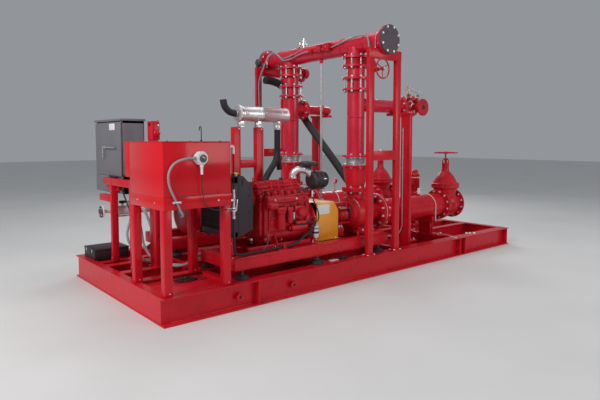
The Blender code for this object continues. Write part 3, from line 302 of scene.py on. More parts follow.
    def block(self, centre, half, low, high, look=RED, bevel=0.0015):
        """A box between two heights, centred on a place in plan."""
        (x, y), (deep, wide) = centre, half
        self.box((x - deep, y - wide, low), (x + deep, y + wide, high), look, bevel)

    def done(self, *replaced):
        """Make the piece's object, on its body and in place of the CAD nodes it stands for."""
        mesh = bpy.data.meshes.new(self.name)
        self.builder.to_mesh(mesh)
        self.builder.free()
        for look in self.looks:
            mesh.materials.append(look)
        mesh.shade_smooth()
        mesh.set_sharp_from_angle(angle=SHARP_ANGLE)
        made = bpy.data.objects.new(self.name, mesh)
        bpy.context.scene.collection.objects.link(made)
        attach(made, self.body)
        if replaced:
            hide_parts(*replaced)


def around(count, start=0.0):
    """Evenly spaced angles on a full circle."""
    return [2 * pi * (k + start) / count for k in range(count)]


def rolled(angle, axis="X"):
    return Matrix.Rotation(angle, 4, axis)


def shifted(origin, *offsets):
    """Places given by their offsets from one origin."""
    return [origin + Vector(offset) for offset in offsets]


def facing(direction):
    """The turn that brings Z to a direction."""
    return Vector(direction).to_track_quat("Z", "Y")


def smooth_route(points, steps):
    """Points of a curve that runs through all the given points."""
    ends = [2 * points[0] - points[1]] + list(points) + [2 * points[-1] - points[-2]]
    route = []
    for i in range(1, len(ends) - 2):
        before, here, there, after = ends[i - 1:i + 3]
        for step in range(steps):
            t = step / steps
            route.append(0.5 * (2 * here + (there - before) * t
                                + (2 * before - 5 * here + 4 * there - after) * t * t
                                + (3 * here - before - 3 * there + after) * t ** 3))
    route.append(ends[-2])
    return route


def flange(piece, centre, direction, radius=FLANGE_R, thick=PLATE, look=RED):
    edge = 0.002
    piece.turned([(radius - edge, 0), (radius, edge), (radius, thick - edge), (radius - edge, thick)],
                 centre, direction, look, 64)


def weld(piece, centre, direction, radius, look=RED, minor=0.006):
    piece.ring(centre, direction, radius, minor, look, 64, 8)


def joint(piece, low, high, y):
    """Bolts through a riser's flanges between two heights, with heads above and nuts below."""
    piece.bolts((RISER_X, y, high), Z, BOLT_CIRCLE, 8, 0.016, 0.014, 0.008)
    piece.bolts((RISER_X, y, low), -Z, BOLT_CIRCLE, 8, 0.016, 0.014, 0.006)


def studs(piece, low, high, y):
    """Long studs beside a riser, on its flanges' bolt circle."""
    for angle in around(8, 0.5):
        spot = Vector((RISER_X + BOLT_CIRCLE * cos(angle), y + BOLT_CIRCLE * sin(angle), 0))
        piece.rod(spot + Z * low, spot + Z * high, 0.0095, ZINC, 10)


# Risers and header

def riser(side, branch_end):
    name = SIDES[side]
    y = side * LINE_Y
    low, top = 1.404, 2.5527
    piece = Piece(f"riser_{name}_pipe")
    piece.rod((RISER_X, y, low + 0.01), (RISER_X, y, top - 0.01), PIPE_R, PIPE, 72)
    for z in (low, 2.237, 2.374, top - PLATE):
        flange(piece, (RISER_X, y, z), Z, look=PIPE)
    for z in (low + PLATE, 2.237, 2.374 + PLATE, top - PLATE, 1.9):
        weld(piece, (RISER_X, y, z), Z, PIPE_R + 0.001, minor=0.005)
    branch = Vector((RISER_X, y, BRANCH_Z))
    piece.rod(branch, (branch_end - 0.01, y, BRANCH_Z), 0.084, PIPE, 64)
    weld(piece, branch + X * (PIPE_R + 0.006), X, 0.087, minor=0.008)
    flange(piece, (branch_end - PLATE, y, BRANCH_Z), X, 0.14, look=PIPE)
    weld(piece, (branch_end - PLATE, y, BRANCH_Z), X, 0.086, look=PIPE)
    piece.bolts((branch_end - PLATE, y, BRANCH_Z), -X, 0.12, 8, 0.014, 0.012, 0.006)
    studs(piece, 2.225, 2.413, y)
    joint(piece, 2.237, 2.4, y)
    joint(piece, 2.263, 2.374, y)
    piece.done(f"riser_{name}")


def bellows(side):
    y = side * LINE_Y
    low = 1.3063
    height = 0.0974
    piece = Piece(f"bellows_{SIDES[side]}_sleeve")
    profile = [(0.114, 0)]
    for k in range(49):
        along = height * (0.1 + 0.8 * k / 48)
        profile.append((0.1215 + 0.0105 * cos(2 * pi * 5 * k / 48 + pi), along))
    profile.append((0.114, height))
    piece.turned(profile, (RISER_X, y, low), Z, STEEL, 64)
    for z in (low, low + height - 0.006):
        piece.lathe([(150, 0), (150, 6)], (RISER_X, y, z), Z, STEEL, 64)
    joint(piece, 1.28, 1.43, y)
    piece.bolts((RISER_X, y, 1.306), Z, BOLT_CIRCLE, 8, 0.017, 0.013)
    piece.bolts((RISER_X, y, 1.404), -Z, BOLT_CIRCLE, 8, 0.017, 0.013)
    piece.done(f"bellows_{SIDES[side]}")


def butterfly(side):
    name = SIDES[side]
    y = side * LINE_Y
    low, top = 2.553, 2.6337
    middle = (low + top) / 2
    piece = Piece(f"wafer_valve_{name}")
    piece.turned([(0.13, 0), (0.135, 0.005), (0.135, 0.028), (0.126, 0.034), (0.126, 0.047), (0.135, 0.053),
                  (0.135, 0.076), (0.13, top - low)], (RISER_X, y, low), Z, CAST, 64)
    piece.rod((RISER_X + 0.1, y, middle), (0.205, y, middle), 0.032, CAST)
    piece.lathe([(50, 0), (56, 4), (56, 14), (50, 18)], (0.165, y, middle), X, CAST, 32)
    piece.lathe([(60, 0), (75, 8), (75, 70), (70, 75), (70, 82), (40, 86), (40, 95)], (0.19, y, middle), X,
                CAST, 40)
    piece.bolts((0.268, y, middle), X, 0.06, 6, 0.006, 0.006)
    piece.box((0.205, y - 0.005 + side * 0.02 - 0.02, middle - 0.065), (0.265, y + side * 0.02 + 0.025, 2.55),
              CAST, 0.006)
    piece.lathe([(35, 0), (36, 4), (36, 55), (26, 72), (24, 120)], (0.235, y + side * 0.03, 2.515),
                Y * side, CAST, 32)
    studs(piece, 2.515, 2.672, y)
    joint(piece, 2.527, 2.66, y)
    piece.done(f"butterfly_valve_{name}")
    body = f"butterfly_wheel_{name}"
    wheel = Piece(f"{body}_cast", body)
    hand_wheel(wheel, (0.235, side * 0.86, 2.515), Y * side, 0.13, 0.009, 0.026, 0.0647, 3)
    wheel.done(f"butterfly_handwheel_{name}")


def hand_wheel(piece, centre, direction, radius, rim, hub, shaft, spokes):
    """Rim, dished spokes and a bossed hub with a nut on its shaft."""
    centre, direction = Vector(centre), Vector(direction)
    piece.ring(centre, direction, radius - rim, rim, CAST, 64, 14)
    piece.turned([(0.011, 0), (0.011, shaft - 0.02), (hub * 0.8, shaft - 0.018), (hub, shaft - 0.008),
                  (hub, shaft + 0.012), (hub * 0.8, shaft + 0.018)], centre - direction * shaft, direction,
                 CAST, 32)
    piece.bolt(centre + direction * 0.018, direction, 0.013, 0.011, 0.006)
    for k in range(spokes):
        angle = 2 * pi * k / spokes + pi / 6
        outward = facing(direction) @ Vector((cos(angle), sin(angle), 0))
        length = radius - rim
        piece.tube([centre + outward * hub * 0.5, centre + outward * length * 0.5 - direction * 0.006,
                    centre + outward * length], rim * 0.72, CAST, 10, 5)


def header():
    z = HEADER_Z
    end = 1.165 - CLEAR
    piece = Piece("header_pipe")
    piece.rod((RISER_X, -end + 0.002, z), (RISER_X, end - 0.002, z), PIPE_R, PIPE, 72)
    for side in (NEAR, FAR):
        y = side * LINE_Y
        flange(piece, (RISER_X, y, 2.634), Z, look=PIPE)
        weld(piece, (RISER_X, y, 2.66), Z, PIPE_R)
        piece.lathe([(108.5, 0), (108.5, 30), (116, 100), (116, 120)], (RISER_X, y, 2.645), Z, PIPE, 64)
        for along in (y - 0.19, y + 0.19, side * (end - PLATE - 0.002)):
            weld(piece, (RISER_X, along, z), Y, PIPE_R + 0.0005, minor=0.005)
        flange(piece, (RISER_X, side * (end - PLATE), z), Y * side, look=PIPE)
        piece.bolts((RISER_X, side * (end - PLATE), z), Y * -side, BOLT_CIRCLE, 8, 0.016, 0.013, 0.004)
    piece.lathe([(24, 0), (26, 3), (26, 50), (22, 55), (22, 80)], (RISER_X, 0, 2.65), Z, PIPE, 32)
    piece.done("header")
    for side in (NEAR, FAR):
        blank = Piece(f"blank_{SIDES[side]}")
        start = (RISER_X, side * 1.1653, z)
        flange(blank, start, Y * side, FLANGE_R, 0.0297, IRON)
        blank.ring((RISER_X, side * 1.1945, z), Y, 0.105, 0.0012, IRON, 64, 6)
        blank.bolts((RISER_X, side * 1.195, z), Y * side, BOLT_CIRCLE, 8, 0.016, 0.012, 0.0)
        blank.done(f"blind_flange_{SIDES[side]}")


# Pumps and suction

def pump(side):
    name = SIDES[side]
    y = side * LINE_Y
    z = PUMP_Z
    piece = Piece(f"pump_{name}_casing")
    start = -0.8997
    axis = (start, y, z)
    piece.lathe([(33, 0), (35, 2), (35, 60)], axis, X, STEEL, 40)
    piece.lathe([(85, 62), (87, 66), (87, 118), (60, 122), (60, 142), (87, 146), (87, 196), (85, 200)],
                axis, X, IRON, 48)
    piece.bolts((start + 0.2, y, z), X, 0.07, 6, 0.009, 0.008)
    piece.lathe([(35, 190), (35, 400)], axis, X, STEEL, 40)
    piece.lathe([(75, 395), (100, 410), (100, 500), (88, 520), (88, 600), (100, 620), (100, 680),
                 (165, 700), (172, 710), (172, 735), (205, 750), (222, 790), (225, 830), (225, 930),
                 (222, 970), (205, 1010), (172, 1030), (150, 1055), (130, 1085), (128, 1195), (135, 1210)],
                axis, X, CAST, 72)
    flange(piece, (0.3097, y, z), X, 0.225, 0.04, CAST)
    piece.bolts((start + 0.735, y, z), -X, 0.152, 12, 0.012, 0.01, 0.005)
    piece.bolts((0.3097, y, z), -X, 0.197, 12, 0.017, 0.018, 0.012)
    piece.bolts((start + 0.41, y, z), -X, 0.085, 6, 0.008, 0.007)
    for angle in around(4, 0.5):
        spot = Vector((0, cos(angle) * 0.125, sin(angle) * 0.125))
        piece.bar(Vector(axis) + spot + X * 0.58, (0.24, 0.03, 0.03), CAST, 0.006, rolled(angle))
    piece.lathe([(160, 0), (128, 70), (112, 140), (108, 240)], (RISER_X, y, 0.735), Z, CAST, 64)
    flange(piece, (RISER_X, y, 0.97), Z)
    flange(piece, (RISER_X, y, 0.97 + PLATE + 0.001), Z, FLANGE_R, PLATE - 0.001)
    piece.lathe([(112, 0), (118, 30), (132, 100), (148, 190), (150, 220), (150, 270)], (RISER_X, y, 1.015),
                Z, RED, 64)
    weld(piece, (RISER_X, y, 1.024), Z, 0.115)
    weld(piece, (RISER_X, y, 1.278), Z, 0.151)
    flange(piece, (RISER_X, y, 1.28), Z)
    joint(piece, 0.97, 1.022, y)
    joint(piece, 1.28, 1.29, y)
    low, high = sorted((side * 0.325, side * 1.025))
    piece.box((RISER_X - 0.12, low, BASE_TOP), (RISER_X + 0.12, high, 0.5), RED, 0.003)
    for turn in (-1, 1):
        piece.block((RISER_X, y + turn * 0.14), (0.1, 0.02), 0.495, 0.6, CAST, 0.008)
        piece.block((RISER_X, y + turn * 0.1), (0.02, 0.07), 0.495, 0.56, CAST, 0.008)
    piece.bolt_grid((RISER_X, y, 0.5), (0.09, 0.22), 0.014, 0.012, 0.01)
    piece.rod((RISER_X - 0.06, y + side * 0.19, z - 0.12), (RISER_X - 0.06, y + side * 0.245, z - 0.12),
              0.012, BRASS, 16)
    piece.bar((-0.335, y - 0.101, z + 0.101), (0.11, 0.028, 0.003), GALVANISED, 0.001, rolled(radians(45)))
    # A thin black box on the bearing frame's near side is painted shade, standing for the dark window in the
    # frame.
    piece.box((-0.238, y - 0.112, z - 0.03), (-0.188, y - 0.09, z + 0.105), BLACK, 0.006)
    piece.box((-0.52, y - 0.1, z + 0.15), (-0.24, y - 0.05, z + 0.172), RED, 0.006)
    for x in (-0.47, -0.27):
        piece.box((x - 0.012, y - 0.09, z + 0.07), (x + 0.012, y - 0.06, z + 0.155), RED, 0.004)
    piece.box((-0.5, y - 0.185, BASE_TOP), (-0.4, y + 0.185, 0.575), CAST, 0.008)
    piece.bolt_grid((-0.45, y, 0.575), (0.022, 0.165), 0.014, 0.012, 0.008)
    # A short bright steel arc on the casing's upper-left rim only: a painted highlight where the rim catches
    # the light, not a ring round the whole rim.
    painted_rim_highlight = [(start + 0.765, y + 0.214 * cos(radians(112 + 8 * k)), z + 0.214 * sin(radians(112 + 8 * k)))
           for k in range(6)]
    piece.tube(painted_rim_highlight, 0.0045, STEEL, 8, 3)
    piece.done(f"pump_{name}")


def suction(side):
    name = SIDES[side]
    y = side * LINE_Y
    start, inlet_r = 0.35, 0.225
    end = GATE_X - 0.18 - PLATE - CLEAR
    piece = Piece(f"suction_{name}_spool")
    flange(piece, (start, y, PUMP_Z), X, inlet_r, 0.04)
    shape = bmesh.new()
    rings = []
    for x, z, radius in ((0.36, PUMP_Z, 0.122), (0.43, PUMP_Z, 0.122), (0.48, 0.686, 0.13),
                         (0.59, 0.671, 0.153), (0.65, SUCTION_Z, 0.162), (end + 0.005, SUCTION_Z, 0.162)):
        rings.append([shape.verts.new((x, y + radius * cos(angle), z + radius * sin(angle)))
                      for angle in around(72)])
    piece.skin(rings, shape, RED)
    weld(piece, (start + 0.04, y, PUMP_Z), X, 0.122)
    weld(piece, (0.43, y, PUMP_Z), X, 0.123, minor=0.004)
    weld(piece, (0.65, y, SUCTION_Z), X, 0.1625, minor=0.004)
    flange(piece, (end, y, SUCTION_Z), X, 0.222)
    weld(piece, (end, y, SUCTION_Z), X, 0.163)
    piece.bolts((start + 0.04, y, PUMP_Z), X, 0.197, 12, 0.017, 0.024, 0.03)
    piece.ring((start - 0.0004, y, PUMP_Z), X, inlet_r + 0.0005, 0.0028, STEEL, 72, 6)
    piece.bolts((end, y, SUCTION_Z), -X, 0.192, 12, 0.016, 0.014, 0.01)
    for x in (0.85, 1.475):
        saddle = [(y - 0.15, 0.435), (y - 0.15, 0.47), (y - 0.145, 0.515)]
        for k in range(9):
            angle = radians(235 + k * 70 / 8)
            saddle.append((y + 0.1625 * cos(angle), SUCTION_Z + 0.1625 * sin(angle)))
        saddle += [(y + 0.145, 0.515), (y + 0.15, 0.47), (y + 0.15, 0.435)]
        piece.prism(saddle, 0, x - 0.05, x + 0.05, RED, 0.002)
        piece.block((x, y), (0.006, 0.1), DECK + 0.02, 0.43, RED, 0.001)
        for turn in (-1, 1):
            piece.block((x, y + turn * 0.094), (0.035, 0.006), DECK + 0.02, 0.43, RED, 0.001)
        piece.block((x, y), (0.06, 0.27), DECK_TOP, DECK + 0.022, RED, 0.002)
        piece.bolt_grid((x, y, DECK + 0.022), (0.035, 0.235), 0.012, 0.011, 0.012)
        strap = []
        for k in range(13):
            angle = radians(-8 + k * 196 / 12)
            strap.append((x, y + 0.171 * cos(angle), SUCTION_Z + 0.171 * sin(angle)))
        strap = [(x, y + 0.171, 0.44)] + strap + [(x, y - 0.171, 0.44)]
        shift = -0.048 if side == FAR and x < 1.0 else 0.0
        piece.tube([(along + shift, across, height) for along, across, height in strap], 0.0065, WHITE, 10, 4)
        for turn in (-1, 1):
            piece.block((x, y + turn * 0.171), (0.03, 0.03), 0.45, 0.462, RED, 0.002)
            piece.bolt((x, y + turn * 0.171, 0.462), Z, 0.011, 0.01)
            piece.bolt((x, y + turn * 0.171, 0.45), -Z, 0.011, 0.01)
    if side == NEAR:
        piece.rod((1.29, y, 0.81), (1.29, y, 0.85), 0.026, RED)
        piece.lathe([(18, 0), (18, 20), (26, 21), (26, 45), (14, 46), (14, 80)], (1.29, y, 0.85), Z,
                    BRIGHT, 12)
        piece.bar((1.315, y, 0.925), (0.09, 0.014, 0.008), BRIGHT, 0.002)
    else:
        piece.rod((0.864, y, 0.81), (0.864, y, 0.84), 0.022, RED)
        piece.rod((0.864, y, 0.84), (0.864, y, 0.96), 0.011, STEEL, 16)
        piece.rod((0.84, y, 0.985), (0.885, y, 0.985), 0.044, CAST, 40, 0.006)
        piece.rod((0.8385, y, 0.985), (0.8398, y, 0.985), 0.037, WHITE, 32, 0.0)
    piece.done(f"suction_pipe_{name}")


def gate_valve(side):
    name = SIDES[side]
    y = side * LINE_Y
    z = SUCTION_Z
    piece = Piece(f"gate_valve_{name}_body")
    piece.lathe([(220, 0), (222, 2), (222, 24), (220, 26), (176, 28), (172, 36), (172, 80), (182, 115),
                 (195, 140), (198, 180), (195, 220), (182, 245), (172, 280), (172, 324), (176, 332),
                 (220, 334), (222, 336), (222, 358), (220, 360)], (GATE_X - 0.18, y, z), X, CAST, 72)
    for turn in (-1, 1):
        piece.bolts((GATE_X + turn * (0.18 - PLATE), y, z), X * -turn, 0.192, 12, 0.016, 0.014, 0.01)
    mouth = Vector((GATE_X + 0.18, y, z))
    piece.lathe([(165, 0), (165, 0.2), (150, 0.3)], mouth, X, CAST, 64)
    # Thin black discs over the outlet's bore and bolt holes are painted shade, standing for the dark openings
    # of a solid body.
    for angle in around(12, 0.5):
        spot = mouth + Vector((0, 0.192 * cos(angle), 0.192 * sin(angle)))
        piece.lathe([(11.5, 0), (11.5, 0.4)], spot, X, RUBBER, 16)
    piece.lathe([(150, 0), (150.2, 0.6)], mouth, X, RUBBER, 64)
    piece.lathe([(155, 80), (158, 140), (166, 200), (175, 225), (203, 240), (205, 243), (205, 273),
                 (203, 276)], (GATE_X, y, z), Z, CAST, 72)
    piece.lathe([(203, 278), (205, 281), (205, 305), (200, 309), (174, 314), (168, 330), (158, 355),
                 (140, 390), (118, 424), (92, 455), (66, 482), (56, 505), (52, 525), (52, 590), (56, 600),
                 (50, 612)], (GATE_X, y, z), Z, CAST, 72)
    piece.bolts((GATE_X, y, z + 0.31), Z, 0.186, 8, 0.01, 0.009, 0.004, CAST)
    piece.lathe([(16, 0), (16, 140)], (GATE_X, y, 1.21), Z, CAST, 24)
    piece.lathe([(26, 0), (30, 4), (30, 22), (22, 26)], (GATE_X, y, 1.324), Z, CAST, 40)
    piece.box((GATE_X + 0.026, y - 0.012, 1.215), (GATE_X + 0.032, y + 0.012, 1.345), STEEL, 0.001)
    for turn in (-1, 1):
        piece.tube([(GATE_X, y + turn * 0.036, 1.25), (GATE_X, y + turn * 0.05, 1.268),
                    (GATE_X, y + turn * 0.05, 1.318), (GATE_X, y + turn * 0.026, 1.336)], 0.008, CAST, 12,
                   5)
    piece.bar((GATE_X, y - 0.198, z), (0.1, 0.006, 0.05), CAST, 0.002)
    piece.done(f"gate_valve_{name}")
    body = f"gate_wheel_{name}"
    wheel = Piece(f"{body}_cast", body)
    hand_wheel(wheel, (GATE_X, y, GATE_WHEEL_Z), Z, 0.177, 0.01, 0.03, 0.0947, 4)
    wheel.rod((GATE_X, y, GATE_WHEEL_Z + 0.015), (GATE_X, y, GATE_WHEEL_Z + 0.033), 0.011, STEEL)
    wheel.done(f"gate_handwheel_{name}")


def relief_near():
    x, y, z = 0.8303, -LINE_Y, BRANCH_Z
    piece = Piece("relief_near_body")
    piece.lathe([(138, 0), (140, 2), (140, 24), (138, 26), (95, 30), (88, 42), (105, 85), (122, 120),
                 (133, 160), (135, 200), (131, 240), (120, 280), (95, 318), (70, 335), (50, 340)],
                (x, y, z), X, CAST, 64)
    piece.lathe([(90, 0), (95, 50), (112, 85), (132, 95), (135, 98), (135, 114), (133, 116)],
                (x + 0.2, y, z), Z, CAST, 64)
    piece.lathe([(133, 117), (135, 119), (135, 132), (130, 136), (100, 142), (85, 158), (34, 165),
                 (30, 170), (30, 190)], (x + 0.2, y, z), Z, CAST, 64)
    piece.bolts((x + 0.2, y, z + 0.134), Z, 0.12, 10, 0.011, 0.01, 0.008)
    piece.bolts((x + 0.026, y, z), X, 0.12, 8, 0.014, 0.012, 0.008)
    piece.lathe([(85, 0), (78, 100), (70, 140), (70, 205), (74, 210), (113, 211), (115, 213), (115, 232),
                 (113, 234), (78, 234.5), (74, 234.5)], (x + 0.23, y, z), -Y, CAST, 64)
    mouth = Vector((x + 0.23, y - 0.2346, z))
    # Thin black discs over the outlet's bore and bolt holes are painted shade, standing for the dark openings
    # of a solid body.
    piece.lathe([(34, 0), (34.2, 0.4)], mouth, -Y, RUBBER, 48)
    for angle in around(8, 0.5):
        piece.lathe([(8, 0), (8, 0.4)], mouth + Vector((0.097 * cos(angle), 0, 0.097 * sin(angle))), -Y,
                    RUBBER, 12)
    top = Vector((x + 0.2, y, z + 0.19))
    piece.lathe([(16, 0), (16, 30), (24, 32), (24, 55), (12, 58), (12, 85), (18, 87), (18, 105)], top, Z,
                BRASS, 12)
    piece.tube(shifted(top, (0, 0, 0.045), (0.05, -0.02, 0.05), (0.1, -0.05, 0.03), (0.13, -0.08, -0.03),
                       (0.1, -0.1, -0.09)), 0.005, ZINC, 8, 6)
    piece.tube(shifted(top, (0, 0, 0.045), (-0.05, -0.04, 0.05), (-0.12, -0.07, 0.0),
                       (-0.15, -0.08, -0.08), (-0.16, -0.06, -0.14)), 0.005, ZINC, 8, 6)
    pilot = Vector((x + 0.36, y - 0.04, z + 0.06))
    piece.lathe([(22, 0), (22, 60), (34, 64), (34, 78), (22, 82), (20, 120), (8, 124), (8, 140)], pilot, Z,
                CAST, 32)
    piece.tube([(x + 0.31, y - 0.02, z), (x + 0.36, y - 0.03, z + 0.01), pilot + Vector((0, 0, 0.01))],
               0.007, BRASS, 10)
    piece.tube([pilot + Vector((0.02, 0, 0.03)), pilot + Vector((0.055, 0, 0.04)),
                pilot + Vector((0.06, -0.02, 0.1)), pilot + Vector((0.02, -0.04, 0.15)),
                top + Vector((0.015, 0, 0.09))], 0.004, ZINC, 8, 6)
    for along, turn in ((0.06, 0.05), (0.085, 0.6), (0.07, -0.65), (0.13, 0.3), (0.15, -0.35)):
        spot = Vector((x + along, y - 0.1 * cos(turn), z + 0.1 * sin(turn)))
        out = Vector((0, -cos(turn), sin(turn)))
        piece.rod(spot, spot + out * 0.045, 0.012, ZINC, 6)
        piece.rod(spot + out * 0.045, spot + out * 0.06, 0.008, ZINC, 10)
    piece.tube([(x + 0.06, y - 0.155, z + 0.01), (x + 0.075, y - 0.165, z + 0.05),
                (x + 0.085, y - 0.135, z + 0.085)], 0.006, ZINC, 10, 5)
    piece.tube([(x + 0.07, y - 0.13, z - 0.095), (x + 0.11, y - 0.165, z - 0.08),
                (x + 0.15, y - 0.15, z - 0.04)], 0.006, ZINC, 10, 5)
    piece.done("relief_valve_near")


def relief_far():
    x, y, z = 0.2003, LINE_Y, BRANCH_Z
    piece = Piece("relief_far_body")
    piece.lathe([(138, 0), (140, 2), (140, 24), (138, 26), (82, 30), (74, 45), (64, 100), (62, 140),
                 (62, 300), (68, 305), (68, 335), (62, 340), (62, 500), (56, 522), (40, 538), (15, 545)],
                (x, y, z), X, RED, 64)
    piece.bolts((x + 0.026, y, z), X, 0.118, 8, 0.014, 0.012, 0.006)
    for along in (0.1, 0.4):
        piece.rod((x + along, y, z + 0.05), (x + along, y, z + 0.085), 0.018, RED)
        piece.rod((x + along, y, z + 0.083), (x + along, y, z + 0.105), 0.012, BRASS, 6)
    piece.done("relief_valve_far")


def branch_post(side, top):
    name = SIDES[side]
    x, y = 0.69, side * 0.89
    low, high = y - 0.075, y + 0.075
    piece = Piece(f"branch_post_{name}_tube")
    piece.box((x - 0.025, low, 0.025), (x + 0.025, high, top - 0.02), RED, 0.004)
    inner, outer = sorted((side * 0.4153, side * 1.0847))
    piece.box((x - 0.035, inner, 0.0123), (x + 0.035, outer, 0.082), RED, 0.003)
    inner, outer = sorted((y + side * 0.09, side * 0.575))
    piece.box((x - 0.04, inner, top - 0.035), (x + 0.04, outer, top - CLEAR), RED, 0.003)
    weld(piece, (x, side * LINE_Y, top - 0.034), Z, 0.03, minor=0.002)
    for along in (-0.025, 0.025):
        piece.bolt((x + along, y + side * 0.06, top - CLEAR), Z, 0.01, 0.009)
    if side == NEAR:
        piece.tube([(x - 0.033, y + 0.03, top - 0.2), (x - 0.033, y + 0.03, 1.2),
                    (x - 0.033, y + 0.03, 0.62), (x - 0.033, y + 0.04, 0.45), (x - 0.09, y + 0.09, 0.3)],
                   0.0065, GALVANISED, 10, 8)
        for z in (1.75, 1.25, 0.75):
            piece.bar((x - 0.033, y + 0.03, z), (0.02, 0.03, 0.012), ZINC, 0.002)
    piece.done(f"branch_post_{name}")


def jockey():
    x, foot = 2.05, DECK_TOP
    piece = Piece("jockey_pump_set")
    piece.lathe([(83, 0), (85, 3), (85, 20), (66, 26), (60, 35), (60, 118), (66, 126), (68, 130),
                 (68, 140)], (x, 0, foot), Z, CAST, 48)
    piece.lathe([(66, 140), (66, 482)], (x, 0, foot), Z, RED, 48)
    for k in range(7):
        piece.ring((x, 0, foot + 0.16 + k * 0.045), Z, 0.0662, 0.002, RED, 48, 6)
    for angle in around(4, 0.5):
        spot = Vector((x + 0.072 * cos(angle), 0.072 * sin(angle), foot))
        piece.rod(spot + Z * 0.12, spot + Z * 0.5, 0.005, ZINC, 10)
        piece.bolt(spot + Z * 0.53, Z, 0.009, 0.008)
    piece.lathe([(68, 480), (80, 490), (80, 528), (72, 534), (68, 545)], (x, 0, foot), Z, CAST, 48)
    piece.lathe([(66, 540), (66, 762)], (x, 0, foot), Z, CAST, 48)
    for angle in around(28):
        spot = Vector((x + 0.068 * cos(angle), 0.068 * sin(angle), foot + 0.65))
        piece.bar(spot, (0.008, 0.003, 0.2), CAST, 0.0, rolled(angle, "Z"))
    piece.lathe([(68, 762), (70, 764), (70, 778), (68, 780)], (x, 0, foot), Z, WHITE, 48)
    piece.lathe([(76, 780), (78, 783), (78, 816), (66, 826), (52, 836), (50, 842), (50, 876), (40, 888),
                 (28, 896), (22, 900)], (x, 0, foot), Z, RED, 48)
    piece.box((x - 0.11, -0.035, foot + 0.65), (x - 0.062, 0.035, foot + 0.73), CAST, 0.006)
    piece.rod((x - 0.165, 0, foot + 0.09), (x + 0.165, 0, foot + 0.09), 0.03, CAST, 40)
    for turn in (-1, 1):
        flange(piece, (x + turn * 0.15, 0, foot + 0.09), X * turn, 0.06, 0.0197, CAST)
        piece.bolts((x + turn * 0.15, 0, foot + 0.09), X * -turn, 0.046, 4, 0.009, 0.008)
    piece.box((x - 0.11, -0.085, foot), (x + 0.11, 0.085, foot + 0.01), CAST, 0.003)
    piece.bolt_grid((x, 0, foot + 0.01), (0.095, 0.065), 0.01, 0.009, 0.006)
    piece.done("jockey_pump")


def portals():
    for side in (NEAR, FAR):
        y = side * 1.11
        foot = DECK_TOP
        top = 2.6902
        piece = Piece(f"portal_{SIDES[side]}_frame")
        for x in (-0.265, 0.215):
            piece.block((x, y), (0.045, 0.025), foot + 0.008, top - 0.115, RED, 0.005)
            piece.block((x, y), (0.07, 0.05), foot, foot + 0.012, RED, 0.002)
            piece.bolt_grid((x, y, foot + 0.012), (0.056, 0.036), 0.009, 0.008)
        piece.box((-0.312, y - 0.027, top - 0.12), (0.262, y + 0.027, top - CLEAR), RED, 0.005)
        piece.box((-0.222, y - 0.023, 1.377), (0.172, y + 0.023, 1.494), RED, 0.004)
        piece.done(f"portal_{SIDES[side]}")
        strap = Piece(f"header_clamp_{SIDES[side]}")
        bow = [(RISER_X + 0.116, y - side * 0.045, 2.7)]
        for k in range(13):
            angle = radians(k * 180 / 12)
            bow.append((RISER_X + 0.116 * cos(angle), y - side * 0.045, 2.8 + 0.116 * sin(angle)))
        bow.append((RISER_X - 0.116, y - side * 0.045, 2.7))
        strap.tube(bow, 0.006, ZINC, 10, 4)
        for turn in (-1, 1):
            strap.box((RISER_X + turn * 0.116 - 0.022, y - side * 0.045 - 0.022, 2.6902),
                      (RISER_X + turn * 0.116 + 0.022, y - side * 0.02, 2.7), RED, 0.002)
            strap.bolt((RISER_X + turn * 0.116, y - side * 0.045, 2.7), Z, 0.011, 0.01)
        strap.done()


def boxes_on_header():
    piece = Piece("header_boxes")
    for a, b in ((-0.178, -0.1), (-0.33, -0.212)):
        piece.box((RISER_X - 0.185, a, 2.765), (RISER_X - 0.105, b, 2.86), CAST, 0.006)
        piece.bolt((RISER_X - 0.185, (a + b) / 2, 2.815), -X, 0.006, 0.004)
    piece.box((RISER_X - 0.12, -0.35, 2.785), (RISER_X - 0.106, 0.1, 2.845), RED, 0.002)
    for y in (-0.045, 0.055):
        piece.box((RISER_X - 0.165, y - 0.034, 2.78), (RISER_X - 0.112, y + 0.034, 2.828), RED, 0.006)
    vent = Vector((RISER_X - 0.03, 0.325, 2.86))
    piece.lathe([(22, 0), (22, 55), (40, 60), (40, 92), (24, 98), (22, 115), (30, 118), (30, 134),
                 (14, 138), (12, 155), (18, 157), (18, 166)], vent, Z, STEEL, 16)
    piece.rod(vent + Vector((0, 0.09, 0.078)), vent + Vector((0, -0.055, 0.078)), 0.018, STEEL, 16)
    piece.rod(vent + Vector((0, 0.085, 0.06)), vent + Vector((0, 0.085, 0.12)), 0.014, STEEL, 16)
    piece.rod(vent + Vector((0, 0.05, 0.142)), vent + Vector((0, -0.01, 0.142)), 0.008, STEEL, 12)
    piece.tube(shifted(vent, (0, 0.085, 0.07), (-0.02, 0.09, 0.03), (-0.055, 0.1, 0.0),
                       (-0.075, 0.13, -0.05), (-0.09, 0.17, -0.085)), 0.006, RUBBER, 10, 5)
    piece.done()
    bell = Piece("far_switch")
    bell.box((-0.295, 1.09, 2.6905), (-0.245, 1.13, 2.745), IRON, 0.006)
    bell.lathe([(40, 0), (52, 6), (54, 50), (42, 64), (14, 68)], (-0.245, 1.085, 2.757), -X, IRON, 32)
    bell.done()


# Drivers

